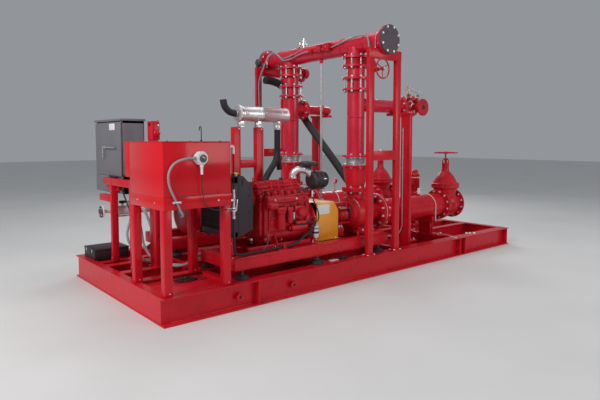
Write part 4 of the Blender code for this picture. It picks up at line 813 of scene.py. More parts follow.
def engine_crankcase(piece, y):
    low = BASE_TOP
    near, far = y - 0.22, y + 0.22
    piece.box((-1.62, near, 0.6), (-0.99, far, 0.98), CAST, 0.012)
    piece.box((-1.6, near - 0.012, 0.6), (-1.01, far + 0.012, 0.625), CAST, 0.004)
    piece.box((-1.61, near - 0.008, 0.935), (-1.00, far + 0.008, 0.955), CAST, 0.004)
    pan = [(y - 0.2, 0.615), (y - 0.2, 0.575), (y - 0.13, 0.5), (y - 0.12, low + 0.03),
           (y + 0.12, low + 0.03), (y + 0.13, 0.5), (y + 0.2, 0.575), (y + 0.2, 0.615)]
    piece.prism(pan, 0, -1.59, -1.08, CAST, 0.006)
    piece.box((-1.59, y - 0.215, 0.588), (-1.05, y + 0.215, 0.602), CAST, 0.003)
    for k in range(11):
        for face in (-1, 1):
            piece.bolt((-1.57 + k * 0.052, y + face * 0.207, 0.588), -Z, 0.008, 0.008, 0, CAST)
    for k in range(6):
        x = -1.565 + k * 0.102
        piece.box((x - 0.006, near - 0.016, 0.66), (x + 0.006, near + 0.01, 0.93), CAST, 0.004)
        piece.lathe([(34, 0), (36, 3), (36, 12), (30, 14), (28, 8)], (x + 0.051, near + 0.003, 0.74), -Y,
                    CAST, 28)
        piece.lathe([(26, 0), (28, 3), (28, 10), (12, 12)], (x + 0.051, far - 0.003, 0.74), Y, CAST, 24)
    piece.box((-1.55, near - 0.02, 0.79), (-1.06, near + 0.01, 0.8), CAST, 0.004)


def engine_head(piece, y):
    """Cylinder head, its three covers, the inlet runners and the lines above them."""
    piece.box((-1.64, y - 0.17, 0.955), (-1.02, y + 0.15, 1.04), CAST, 0.01)
    piece.box((-1.655, y - 0.155, 1.035), (-1.025, y + 0.135, 1.085), CAST, 0.012)
    cover = [(y - 0.115, 1.08), (y - 0.115, 1.115), (y - 0.085, 1.155), (y - 0.05, 1.165), (y + 0.05, 1.165),
             (y + 0.085, 1.15), (y + 0.1, 1.115), (y + 0.1, 1.08)]
    for k in range(3):
        x = -1.63 + k * 0.202
        piece.prism(cover, 0, x, x + 0.19, CAST, 0.008)
        for turn in (-0.06, 0.05):
            piece.bolt((x + 0.095, y + turn, 1.16), Z, 0.012, 0.012, 0, CAST)
        for rib in range(5):
            piece.box((x + 0.02 + rib * 0.034, y - 0.1, 1.12), (x + 0.028 + rib * 0.034, y + 0.09, 1.166),
                      CAST, 0.003)
    piece.box((-1.61, y - 0.275, 0.955), (-1.07, y - 0.17, 1.015), CAST, 0.014)
    for k in range(6):
        x = -1.565 + k * 0.094
        piece.tube([(x, y - 0.225, 1.0), (x, y - 0.215, 1.045), (x + 0.01, y - 0.17, 1.06),
                    (x + 0.01, y - 0.13, 1.055)], 0.022, CAST, 14, 5)
        piece.box((x - 0.034, y - 0.165, 1.02), (x + 0.034, y - 0.15, 1.075), CAST, 0.003)
        piece.bolt((x - 0.026, y - 0.165, 1.047), -Y, 0.007, 0.008, 0.003)
        piece.tube([(x + 0.02, y - 0.262, 1.02), (x + 0.03, y - 0.25, 1.09 + 0.004 * k),
                    (x + 0.05, y - 0.19, 1.125), (x + 0.03, y - 0.1, 1.12)], 0.0045, CAST, 8, 6)
        piece.rod((x + 0.03, y - 0.105, 1.105), (x + 0.03, y - 0.095, 1.15), 0.012, CAST, 12)
    for level, deep in ((1.125, 0.15), (1.092, 0.185), (1.028, 0.282)):
        piece.tube([(-1.63, y - deep, level - 0.01), (-1.5, y - deep - 0.006, level),
                    (-1.35, y - deep + 0.006, level - 0.006), (-1.2, y - deep - 0.004, level + 0.004),
                    (-1.05, y - deep, level)], 0.007, CAST, 10, 8)
    piece.tube([(-1.6, y - 0.24, 0.98), (-1.45, y - 0.268, 0.925), (-1.3, y - 0.258, 0.93),
                (-1.12, y - 0.268, 0.97), (-1.03, y - 0.24, 1.05)], 0.0065, CAST, 10, 8)
    for k, x in enumerate((-1.52, -1.39, -1.23, -1.11)):
        piece.bolt((x, y - 0.278, 0.985), -Y, 0.01, 0.01, 0.004, CAST if k % 2 else ZINC)


def engine_near_side(piece, y):
    """Filters, cooler, starter and pumps on the crankcase's outer side."""
    piece.rod((-1.43, y - 0.262, 0.66), (-1.43, y - 0.262, 0.84), 0.046, CAST, 40, 0.01)
    piece.lathe([(50, 0), (52, 4), (52, 30), (46, 36)], (-1.43, y - 0.262, 0.835), Z, CAST, 32)
    piece.box((-1.49, y - 0.29, 0.86), (-1.37, y - 0.21, 0.905), CAST, 0.008)
    piece.rod((-1.31, y - 0.262, 0.72), (-1.31, y - 0.262, 0.86), 0.032, CAST, 32, 0.008)
    piece.box((-1.35, y - 0.285, 0.855), (-1.27, y - 0.21, 0.895), CAST, 0.006)
    piece.box((-1.23, y - 0.255, 0.76), (-1.08, y - 0.21, 0.9), CAST, 0.012)
    piece.lathe([(50, 0), (52, 4), (52, 50), (44, 58)], (-1.15, y - 0.25, 0.83), -Y, CAST, 36)
    piece.bolts((-1.15, y - 0.308, 0.83), -Y, 0.036, 4, 0.006, 0.006, 0, CAST)
    piece.rod((-1.28, y - 0.235, 0.66), (-1.06, y - 0.235, 0.66), 0.04, CAST, 36, 0.006)
    piece.rod((-1.29, y - 0.235, 0.66), (-1.31, y - 0.235, 0.66), 0.026, CAST, 28)
    piece.rod((-1.22, y - 0.255, 0.715), (-1.08, y - 0.255, 0.715), 0.022, CAST, 28)


def engine_flywheel_housing(piece, y):
    housing = (-1.07, y, PUMP_Z)
    piece.lathe([(190, 0), (225, 12), (232, 30), (235, 35), (235, 55), (215, 70), (205, 130), (232, 148),
                 (235, 150), (235, 168), (232, 170)], housing, X, CAST, 64)
    piece.bolts(Vector(housing) + X * 0.17, X, 0.222, 12, 0.011, 0.008)
    piece.bolts(Vector(housing) + X * 0.035, -X, 0.222, 12, 0.01, 0.008, 0, CAST)
    for angle in around(12, 0.5):
        piece.bar(Vector(housing) + Vector((0.105, 0.212 * cos(angle), 0.212 * sin(angle))),
                  (0.09, 0.012, 0.03), CAST, 0.003, rolled(angle + pi / 2))


def engine_front(piece, y):
    """Pulleys, belt, fan ring, alternator and coolant hoses."""
    front = Vector((-1.62, y, 0))
    piece.box((-1.66, y - 0.19, 0.6), (-1.61, y + 0.19, 0.96), CAST, 0.016)
    for height, radius, depth in ((0.68, 0.088, 0.05), (0.98, 0.128, 0.055), (0.86, 0.05, 0.04)):
        hub = front + Z * height - X * 0.035
        profile = [(radius * 0.5, 0)]
        for k in range(4):
            at = 0.008 + depth * 0.8 * k / 4
            profile += [(radius, at), (radius * 0.95, at + depth * 0.1)]
        profile += [(radius, depth * 0.85), (radius * 0.8, depth * 0.9), (radius * 0.35, depth * 0.86),
                    (radius * 0.3, depth)]
        piece.turned(profile, hub, -X, CAST, 48)
        piece.bolts(hub - X * depth * 0.86, -X, radius * 0.55, 4, 0.007, 0.006, 0, CAST)
    piece.ring(front + Z * 0.98 - X * 0.07, X, 0.118, 0.008, RED, 64, 10)
    for turn in (-1, 1):
        piece.bar(front + Vector((-0.062, turn * 0.105, 0.83)), (0.018, 0.006, 0.315), RUBBER, 0.001,
                  rolled(turn * -0.12))
    piece.rod((-1.72, y, 0.98), (-1.655, y, 0.98), 0.045, CAST)
    piece.rod((-1.6, y - 0.26, 0.93), (-1.49, y - 0.26, 0.93), 0.05, CAST, 40, 0.008)
    piece.lathe([(30, 0), (36, 4), (30, 8), (36, 12), (30, 20)], (-1.6, y - 0.26, 0.93), -X, CAST, 32)
    for angle in around(10):
        piece.bar((-1.5, y - 0.26 + 0.034 * cos(angle), 0.93 + 0.034 * sin(angle)), (0.026, 0.008, 0.014),
                  PLASTIC, 0.002, rolled(angle))
    piece.tube([(-1.655, y + 0.02, 1.06), (-1.73, y + 0.02, 1.075), (-1.8, y, 1.12), (-1.855, y, 1.16)],
               0.03, RUBBER, 20, 6)
    piece.tube([(-1.64, y + 0.12, 0.7), (-1.72, y + 0.13, 0.69), (-1.8, y + 0.15, 0.7),
                (-1.855, y + 0.16, 0.7)], 0.03, RUBBER, 20, 6)
    for x, z in ((-1.69, 1.068), (-1.83, 1.14)):
        piece.ring((x, y + 0.015, z), (-0.8, 0, 0.25), 0.031, 0.0035, ZINC, 32, 6)


def engine_exhaust_side(piece, y):
    turbo = Vector((-1.2, y + 0.255, 1.08))
    piece.box((-1.59, y + 0.13, 0.97), (-1.06, y + 0.2, 1.045), CAST, 0.014)
    for k in range(6):
        x = -1.555 + k * 0.094
        piece.box((x - 0.028, y + 0.1, 0.975), (x + 0.028, y + 0.16, 1.04), CAST, 0.01)
    piece.lathe([(40, 0), (62, 10), (68, 30), (62, 50), (36, 58), (36, 100), (64, 108), (70, 130),
                 (62, 155), (40, 165), (40, 200)], turbo - X * 0.1, X, CAST, 40)
    piece.rod((-1.22, y + 0.19, 1.02), (-1.22, y + 0.25, 1.05), 0.03, CAST)
    piece.lathe([(58, 0), (60, 3), (60, 14), (42, 18), (40, 50)], (-1.29, -0.435, 0.985), Z, CAST, 32)


def engine_mounts(piece, y):
    for x in (-1.5, -0.97):
        piece.box((x - 0.05, -1.025, BASE_TOP), (x + 0.05, -0.325, 0.475), RED, 0.003)
        for turn in (-1, 1):
            spot = y + turn * 0.205
            piece.block((x, spot), (0.04, 0.008), 0.47, 0.7, RED, 0.003)
            piece.prism([(y + turn * 0.2, 0.69), (y + turn * 0.2, 0.475), (y + turn * 0.32, 0.475)], 0,
                        x - 0.006, x + 0.006, RED, 0.001)
            piece.bolt((x - 0.02, y + turn * 0.28, 0.475), Z, 0.014, 0.013, 0.012)
            piece.bolt((x, y + turn * 0.215, 0.62), Y * turn, 0.012, 0.01)
    for a in (y - 0.275, y + 0.235):
        piece.box((-1.86, a, 0.467), (-1.02, a + 0.04, 0.52), RED, 0.003)


def engine_small_parts(piece, y):
    """Drain plugs, wiring, filler cap and lifting eyes."""
    piece.rod((-1.4, y - 0.2, 0.55), (-1.4, y - 0.235, 0.55), 0.014, CAST, 6)
    piece.rod((-1.79, y - 0.2, 0.593), (-1.79, y - 0.232, 0.593), 0.011, WHITE, 20, 0.003)
    piece.rod((-1.79, y - 0.2, 0.56), (-1.79, y - 0.228, 0.56), 0.014, RUBBER, 20, 0.003)
    piece.lathe([(16, 0), (16, 20), (22, 24), (22, 36), (10, 40)], (-1.62, y - 0.21, 0.575), -Y, CAST, 20)
    piece.rod((-1.62, y - 0.235, 0.54), (-1.62, y - 0.235, 0.6), 0.006, RED, 12)
    piece.tube([(-1.6, y - 0.228, 0.64), (-1.605, y - 0.28, 0.6), (-1.64, y - 0.29, 0.53),
                (-1.7, y - 0.285, 0.47)], 0.0025, CONDUIT, 6, 6)
    for k in range(5):
        start = Vector((-1.56 + k * 0.11, y - 0.232, 0.925))
        piece.tube(shifted(start, (0, 0, 0), (0.03, -0.012, -0.05 - 0.01 * (k % 3)),
                           (0.075, -0.01, -0.035), (0.11, 0, 0.0)), 0.0035, CAST, 6, 5)
    piece.tube([(-1.54, y - 0.235, 0.64), (-1.44, y - 0.24, 0.625), (-1.32, y - 0.24, 0.632),
                (-1.1, y - 0.245, 0.625)], 0.005, CAST, 8, 5)
    piece.bar((-1.32, y + 0.0, 1.172), (0.13, 0.06, 0.01), CAST, 0.003)
    piece.rod((-1.2, y + 0.03, 1.155), (-1.2, y + 0.03, 1.192), 0.024, PLASTIC, 12)
    for x in (-1.66, -1.03):
        piece.ring((x + 0.02, y - 0.06, 1.195), X, 0.02, 0.006, CAST, 24, 8)
        piece.box((x + 0.012, y - 0.075, 1.11), (x + 0.028, y - 0.045, 1.18), CAST, 0.003)


def engine():
    piece = Piece("engine_block")
    for build in (engine_crankcase, engine_head, engine_near_side, engine_flywheel_housing, engine_front,
                  engine_exhaust_side, engine_mounts, engine_small_parts):
        build(piece, -LINE_Y)
    piece.done("diesel_engine")


def radiator():
    low_y, high_y = -0.995, -0.395
    low, high = 0.6603, 1.265
    piece = Piece("radiator_unit")
    for a, b, foot, top, bevel in ((low_y, low_y + 0.03, low, high, 0.003),
                                   (high_y - 0.03, high_y, low, high, 0.003),
                                   (low_y, high_y, high - 0.075, high, 0.008),
                                   (low_y, high_y, low, low + 0.06, 0.008)):
        piece.box((-2.11, a, foot), (-2.03, b, top), SHROUD, bevel)
    piece.box((-2.09, low_y + 0.02, low + 0.04), (-2.045, high_y - 0.02, high - 0.06), BLACK, 0.0)
    count = 44
    for k in range(count):
        y = low_y + 0.04 + (high_y - low_y - 0.08) * k / (count - 1)
        piece.box((-2.098, y - 0.0025, low + 0.055), (-2.088, y + 0.0025, high - 0.07), PLASTIC, 0.0)
    for k in range(6):
        z = low + 0.1 + k * 0.075
        piece.box((-2.1, low_y + 0.03, z - 0.002), (-2.096, high_y - 0.03, z + 0.002), BLACK, 0.0)
    front, back = -2.04, -1.853
    outline = [(low, front), (low, back - 0.165), (low + 0.066, back), (high - 0.115, back),
               (high, back - 0.115), (high, front)]
    piece.prism(outline, 1, low_y, high_y, SHROUD, 0.006)
    middle = 0.94
    piece.lathe([(205, 0), (205, 6.5), (185, 7), (183, 2)], (back - 0.001, -LINE_Y, middle), X, SHROUD, 64)
    for angle in around(8):
        spot = Vector((back - 0.005, -LINE_Y + 0.1 * cos(angle), middle + 0.1 * sin(angle)))
        piece.bar(spot, (0.01, 0.15, 0.045), PLASTIC, 0.003, rolled(angle) @ rolled(0.35, "Y"))
    for k in range(4):
        piece.ring((back + 0.004, -LINE_Y, middle), X, 0.05 + k * 0.045, 0.002, BLACK, 64, 6)
    for side, out in ((low_y, -1), (high_y, 1)):
        for z in (0.76, 0.9, 1.06, 1.18):
            piece.bolt((-2.07, side, z), Y * out, 0.008, 0.006, 0, SHROUD)
            piece.bolt((-1.9, side, min(z, 1.14)), Y * out, 0.007, 0.004, 0, SHROUD)
        piece.box((-2.028, side - 0.0015, low + 0.03), (-2.022, side + 0.0015, high - 0.03), BLACK, 0.0)
        for k in range(3):
            piece.box((-1.99, side - 0.001, 0.82 + k * 0.13), (-1.91, side + 0.001, 0.824 + k * 0.13),
                      BLACK, 0.0)
    cap = Vector((-2.035, -0.945, high))
    piece.lathe([(30, -10), (30, 12), (38, 13), (39, 16), (39, 26), (32, 32), (15, 34)], cap, Z, BRASS, 32)
    piece.tube(shifted(cap, (0.03, 0, 0.004), (0.05, -0.01, 0.002), (0.056, -0.045, -0.03),
                       (0.056, -0.052, -0.09)), 0.005, RUBBER, 8, 6)
    piece.lathe([(40, 0), (40, 30), (30, 40)], (-2.05, -LINE_Y, high - 0.01), Z, SHROUD, 24)
    piece.lathe([(30, 0), (30, 20), (18, 24), (18, 40)], (-2.075, -0.5, low + 0.001), -Z, PLASTIC, 20)
    piece.done("radiator")


def air_filter():
    drum = Vector((-0.83, -0.815, 1.165))
    piece = Piece("air_filter_drum")
    start = drum - X * 0.105
    piece.lathe([(60, 0), (85, 2), (96, 10), (99, 20), (99, 55), (94, 58), (94, 70), (99, 73), (99, 130),
                 (103, 133), (103, 150), (97, 154), (97, 194), (90, 206), (70, 210), (68, 207), (20, 207)],
                start, X, PLASTIC, 64)
    for turn in (-0.6, 1.2, 3.0):
        spot = start + Vector((0.142, 0.104 * cos(turn), 0.104 * sin(turn)))
        piece.bar(spot, (0.045, 0.012, 0.006), ZINC, 0.002, rolled(turn - pi / 2))
    piece.bar(start + Vector((0.209, 0.02, -0.055)), (0.003, 0.05, 0.014), WHITE, 0.002)
    piece.rod(start + Vector((0.207, 0, 0)), start + Vector((0.214, 0, 0)), 0.016, PLASTIC)
    route = [(-0.885, -0.8, 1.2), (-0.945, -0.765, 1.27), (-1.02, -0.7, 1.28), (-1.06, -0.66, 1.23),
             (-1.06, -0.66, 1.17)]
    piece.tube(route, 0.042, STEEL, 28, 7)
    for place, ahead in (((-0.972, -0.744, 1.283), (-0.8, 0.5, 0.1)), ((-1.06, -0.66, 1.205), Z)):
        piece.ring(place, ahead, 0.043, 0.0035, ZINC, 40, 8)
    piece.lathe([(45, 0), (53, 3), (53, 15), (45, 20)], (-1.06, -0.66, 1.1653), Z, CAST, 32)
    cap = Vector((-0.92, -0.765, 1.235))
    piece.lathe([(38, 0), (38, 88), (60, 90), (104, 94), (110, 100), (111, 120), (104, 128), (70, 142),
                 (35, 150)], cap, Z, PLASTIC, 64)
    for angle in around(24):
        piece.bar(cap + Vector((0.111 * cos(angle), 0.111 * sin(angle), 0.11)), (0.003, 0.014, 0.018),
                  BLACK, 0.001, rolled(angle, "Z"))
    for along in (-0.06, 0.05):
        x = drum.x + along
        piece.box((x - 0.012, -0.88, 1.058), (x + 0.012, -0.74, 1.067), PLASTIC, 0.002)
        piece.ring((x, drum.y, drum.z), X, 0.1005, 0.002, PLASTIC, 56, 6, 3.0)
    piece.done("air_filter")


def motor():
    y, z = LINE_Y, PUMP_Z
    start = -1.8
    piece = Piece("motor_frame")
    piece.lathe([(100, 0), (180, 2), (215, 8), (238, 30), (248, 60), (250, 90), (250, 190), (247, 192),
                 (247, 200)], (start, y, z), X, CAST, 64)
    for k in range(5):
        piece.ring((start - 0.0005, y, z), X, 0.05 + 0.028 * k, 0.003, BLACK, 48, 6)
    for angle in around(10):
        piece.bar((start + 0.002, y + 0.1 * cos(angle), z + 0.1 * sin(angle)), (0.006, 0.13, 0.006),
                  CAST, 0.001, rolled(angle))
    piece.lathe([(240, 180), (242, 200), (242, 250), (215, 255), (215, 800), (242, 805), (246, 820),
                 (246, 860), (200, 875), (90, 885), (85, 900)], (start, y, z), X, CAST, 64)
    for angle in around(56, 0.5):
        if abs(angle - pi / 2) < 0.42 or abs(angle - 3 * pi / 2) < 0.5:
            continue
        spot = (start + 0.53, y + 0.226 * cos(angle), z + 0.226 * sin(angle))
        piece.bar(spot, (0.545, 0.03, 0.0045), CAST, 0.0, rolled(angle))
    piece.bolts((start + 0.86, y, z), X, 0.222, 8, 0.01, 0.008)
    piece.box((-1.52, y - 0.115, 0.9), (-1.24, y + 0.115, 0.925), CAST, 0.004)
    piece.box((-1.5, y - 0.11, 0.92), (-1.26, y + 0.11, 1.045), CAST, 0.01)
    piece.box((-1.505, y - 0.115, 1.042), (-1.255, y + 0.115, 1.06), CAST, 0.004)
    piece.bolt_grid((-1.38, y, 1.06), (0.11, 0.1), 0.007, 0.005)
    for x in (-1.44, -1.33):
        piece.lathe([(26, 0), (26, 12), (20, 14), (20, 30)], (x, y - 0.11, 0.98), -Y, PLASTIC, 20)
    piece.ring((-1.1, y, 0.955), X, 0.022, 0.007, ZINC, 28, 8)
    for x in (-1.5, -1.16):
        piece.box((x - 0.06, y - 0.32, BASE_TOP), (x + 0.06, y + 0.38, 0.485), RED, 0.003)
        for turn in (-1, 1):
            piece.block((x, y + turn * 0.19), (0.05, 0.055), 0.484, 0.51, CAST, 0.005)
            piece.block((x, y + turn * 0.165), (0.012, 0.05), 0.5, 0.62, CAST, 0.005)
        piece.bolt_grid((x, y, 0.51), (0.03, 0.215), 0.012, 0.011, 0.01)
    piece.done("electric_motor")


def guards():
    for side in (NEAR, FAR):
        y = side * LINE_Y
        x_low, x_high = -0.8797, -0.54
        piece = Piece(f"guard_{SIDES[side]}_sheet")
        top = 0.9
        for turn in (-1, 1):
            outline = [(BASE_TOP, x_low), (top, x_low), (top, x_high - 0.07), (0.8, x_high),
                       (BASE_TOP, x_high)]
            inner = sorted((y + turn * 0.22, y + turn * 0.2165))
            piece.prism(outline, 1, inner[0], inner[1], YELLOW, 0.001)
        piece.box((x_low, y - 0.219, top - 0.004), (x_high - 0.069, y + 0.219, top), YELLOW, 0.001)
        length = (0.07 ** 2 + 0.1 ** 2) ** 0.5
        piece.bar((x_high - 0.036, y, 0.849), (0.004, 0.438, length), YELLOW, 0.001, rolled(-0.6107, "Y"))
        for a, b, foot in ((-0.219, -0.1, BASE_TOP), (0.1, 0.219, BASE_TOP), (-0.219, 0.219, 0.755)):
            piece.box((x_high - 0.0035, y + a, foot), (x_high, y + b, 0.8), YELLOW, 0.001)
        face = y - 0.2202
        for row in range(12):
            for column in range(9):
                x = x_low + 0.045 + column * 0.031
                height = 0.5 + row * 0.031 + 0.012 * (column % 2)
                # Black discs in the lowest two rows are painted shade, standing for the guard's dark
                # perforation holes.
                if row < 2:
                    piece.lathe([(4.5, 0), (4.5, 0.4)], (x, face + 0.0001, height), -Y, BLACK, 8)
                elif row > 6 and column > 6 and height + (x - x_high) * 1.4 < 0.84:
                    piece.lathe([(5.5, 0), (5.5, 0.6)], (x, face + 0.0001, height), -Y, BRASS, 8)
        plate = y + side * 0.2215
        piece.box((x_low + 0.02, plate - 0.0012, 0.765), (x_low + 0.2, plate + 0.0012, 0.875), WHITE, 0.0008)
        for turn in (-1, 1):
            piece.box((x_low, y + turn * 0.232 - 0.013, BASE_TOP),
                      (x_high, y + turn * 0.232 + 0.013, 0.4695), YELLOW, 0.001)
        middle = (x_low + x_high) / 2
        piece.bolt_grid((middle, y, 0.4695), (x_high - 0.05 - middle, 0.232), 0.009, 0.008)
        for x in (x_low + 0.03, x_low + 0.13):
            piece.bolt((x, y, top), Z, 0.009, 0.008)
        piece.done(f"coupling_guard_{SIDES[side]}")


# Exhaust

def exhaust():
    y, start, end, outlet = -0.265, -1.561, -0.845, -0.979
    reach = end - start
    piece = Piece("silencer_shell")
    axis = Vector((start, y, 1.915))
    piece.turned([(0.06, 0.0), (0.068, 0.0), (0.098, 0.014), (0.1, 0.018), (0.1, 0.03),
                  (0.09, 0.04), (0.0865, 0.046), (0.0865, 0.33), (0.0885, 0.333), (0.0885, 0.345),
                  (0.0865, 0.348), (0.0865, reach - 0.03), (0.0895, reach - 0.027),
                  (0.0895, reach - 0.012), (0.084, reach - 0.004), (0.07, reach)], axis, X, STEEL, 72)
    piece.ring(axis + X * 0.044, X, 0.088, 0.0036, BLACK, 64, 6)
    piece.ring(axis + X * 0.339, X, 0.0885, 0.0022, BLACK, 64, 6)
    for along in (0.25, 0.47, 0.6):
        weld(piece, axis + X * along, X, 0.0865, STEEL, 0.0012)
    for along in (0.085, 0.36):
        piece.bolt(axis + Vector((along, -0.083, 0.02)), -Y, 0.006, 0.005)
    piece.lathe([(50, 0), (52, 4), (52, 18), (44, 20), (44, 100)], (outlet, y, 1.7997), Z, STEEL, 40)
    piece.bolt((outlet - 0.012, y - 0.053, 1.81), -Y, 0.008, 0.01, 0.008)
    piece.bolt((outlet - 0.05, y - 0.02, 1.808), -X, 0.006, 0.016)
    for x in (start + 0.055, -1.262):
        for turn in (-1, 1):
            piece.block((x, y + turn * 0.03), (0.028, 0.005), 1.765, 1.845, STEEL, 0.002)
        piece.block((x, y), (0.03, 0.04), 1.765, 1.776, STEEL, 0.002)
        piece.ring((x, y, 1.915), X, 0.0885, 0.003, STEEL, 56, 6, 4.0)
        piece.bolt((x, y - 0.046, 1.8), -Y, 0.008, 0.01, 0.008)
    piece.done("silencer")
    pipe = Piece("exhaust_tube")
    route = [(outlet, y, 1.8), (outlet, y, 1.7), (outlet, y, 1.6), (outlet - 0.005, y, 1.46),
             (outlet - 0.05, y - 0.02, 1.36), (-1.16, y - 0.09, 1.26), (-1.27, -0.42, 1.17),
             (-1.29, -0.435, 1.052)]
    pipe.tube(route, 0.0365, LAGGING, 24, 8)
    for k in range(26):
        pipe.ring((outlet, y, 1.78 - k * 0.0125), Z, 0.037, 0.0028, LAGGING, 28, 6)
    pipe.lathe([(43, 0), (45, 3), (45, 57), (43, 60)], (outlet, y, 1.74), Z, STEEL, 32)
    pipe.tube([(outlet, y, 1.52), (outlet + 0.012, y + 0.004, 1.42), (outlet + 0.026, y + 0.004, 1.33),
               (outlet + 0.035, y, 1.26)], 0.034, LAGGING, 20, 5)
    pipe.lathe([(50, 0), (56, 3), (56, 12), (42, 16), (42, 40)], (-1.29, -0.435, 1.0503), Z, LAGGING, 32)
    pipe.done("exhaust_pipe")
    tail = Piece("tail_elbow")
    tail.tube([(start - CLEAR, y, 1.918), (-1.6, y, 1.92), (-1.66, y, 1.937), (-1.712, y, 1.985),
               (-1.732, y, 2.045), (-1.736, y, 2.066)], 0.038, LAGGING, 28, 7)
    # A black plug at the tailpipe's open end is painted shade, standing for its dark bore.
    tail.tube([(-1.731, y, 2.03), (-1.736, y, 2.0665)], 0.032, BLACK, 24, 3)
    tail.ring((start - 0.012, y, 1.918), X, 0.04, 0.004, STEEL, 40, 8)
    tail.done("tailpipe")
    stand = Piece("silencer_posts")
    for x in (-1.575, -1.262):
        stand.block((x, y), (0.048, 0.034), 0.2603, 1.7647, RED, 0.007)
        stand.box((x - 0.043, -0.44, DECK_TOP), (x + 0.043, y + 0.03, 0.3), RED, 0.004)
        stand.bolt((x + 0.02, y - 0.034, 1.745), -Y, 0.007, 0.005)
        stand.bolt((x, -0.4, 0.3), Z, 0.009, 0.007)
    stand.box((-1.575, y - 0.028, 1.3), (-1.262, y + 0.028, 1.392), RED, 0.005)
    stand.tube([(-1.215, y - 0.037, 1.74), (-1.214, y - 0.038, 1.5), (-1.216, y - 0.037, 1.22),
                (-1.213, y - 0.037, 1.1)], 0.006, CONDUIT, 10, 4)
    stand.done("silencer_stand")


# Front end

def tank():
    low, high = TANK_LOW, TANK_HIGH
    piece = Piece("tank_shell")
    piece.box(low, high - Z * 0.0063, TANK, 0.007)
    piece.done("fuel_tank")
    side_box = Piece("tank_side_box")
    side_box.box((low.x + 0.001, high.y + 0.0005, 1.262), (low.x + 0.2, high.y + 0.118, high.z - 0.004),
                 TANK, 0.006)
    side_box.box((low.x + CLEAR, high.y + 0.082, 1.268), (low.x + 0.0012, high.y + 0.086, high.z - 0.012),
                 BLACK, 0.0)
    side_box.done()
    lid = Piece("tank_top")
    lid.box((low.x, low.y, high.z - 0.006), high, TANK, 0.0025)
    vent = Vector((-2.46, -1.05, high.z - 0.002))
    lid.rod(vent, vent + Z * 0.014, 0.01, BLACK, 16)
    lid.tube(shifted(vent, (0, 0, 0), (0, 0, 0.1), (0, 0.003, 0.125), (0, 0.018, 0.135),
                     (0, 0.032, 0.122), (0, 0.034, 0.1)), 0.0045, BLACK, 12, 6)
    lid.bolt_grid((-2.535, -0.775, high.z), (0.265, 0.285), 0.009, 0.007, 0, TANK)
    lid.done("tank_lid")
    stand = Piece("tank_tray")
    thin, top = 0.0012, 1.12
    left, right, back = low.x - thin, high.x + thin, high.y + thin
    foot = low.z - 0.012
    for a, b, c, d in ((left, low.y - 0.0025, right, low.y - CLEAR), (left, high.y + CLEAR, right, back),
                       (left, low.y - thin, low.x - CLEAR, back),
                       (high.x + CLEAR, low.y - thin, right, back)):
        stand.box((a, b, foot), (c, d, top), TANK, 0.0005)
    stand.box((low.x, low.y, foot), (high.x, high.y, low.z - CLEAR), RED, 0.001)
    for a, b in ((-2.878, -2.8), (-2.755, -2.36), (-2.31, high.x)):
        stand.box((a, low.y - 0.0012, top), (b, low.y - 0.0002, top + 0.0045), BLACK, 0.0)
    for x in (-2.778, -2.335):
        stand.lathe([(22, 0), (22, 2)], (x, low.y, top + 0.01), -Y, TANK, 32)
    leg = 0.08
    for x in (low.x, high.x - leg):
        for y in (low.y + 0.004, high.y - leg):
            stand.box((x, y, DECK_TOP), (x + leg, y + leg, low.z - 0.006), RED, 0.009)
            stand.bolt((x + leg / 2 + 0.006, y, DECK + 0.03), -Y, 0.006, 0.005)
    stand.bolt((-2.339, low.y - 0.0025, 1.065), -Y, 0.008, 0.006)
    for y, z in ((-0.593, 1.064), (-0.965, 1.067)):
        stand.bolt((low.x - thin, y, z), -X, 0.007, 0.005)
        stand.bolt((high.x + thin, y, z), X, 0.007, 0.005)
    stand.done("tank_stand")


def gauge():
    x, y, z = GAUGE
    piece = Piece("gauge_case")
    outline = []
    for k in range(8):
        angle = pi / 8 + k * pi / 4
        outline.append((z + 0.064 * sin(angle), x + 0.067 * cos(angle)))
    piece.prism(outline, 1, y - 0.046, y, WHITE, 0.006)
    piece.lathe([(50, 0), (52, 3), (52, 9), (47, 11), (44, 8)], (x, y - 0.046, z), -Y, WHITE, 40)
    piece.lathe([(36, 0), (36, 9.5)], (x + 0.008, y - 0.046, z - 0.004), -Y, GLASS, 40)
    piece.bar((x + 0.012, y - 0.0565, z + 0.006), (0.036, 0.002, 0.004), ZINC, 0.0005, rolled(0.6, "Y"))
    piece.lathe([(13, 0), (17, 2), (17, 22), (12, 26), (11, 88)], (x, y - 0.04, z - 0.056), -Z, WHITE, 16)
    piece.lathe([(16, 0), (17, 2), (17, 18), (13, 22), (13, 32)], (x - 0.0635, y - 0.04, z), -X, CONDUIT,
                20)
    piece.done("level_gauge")


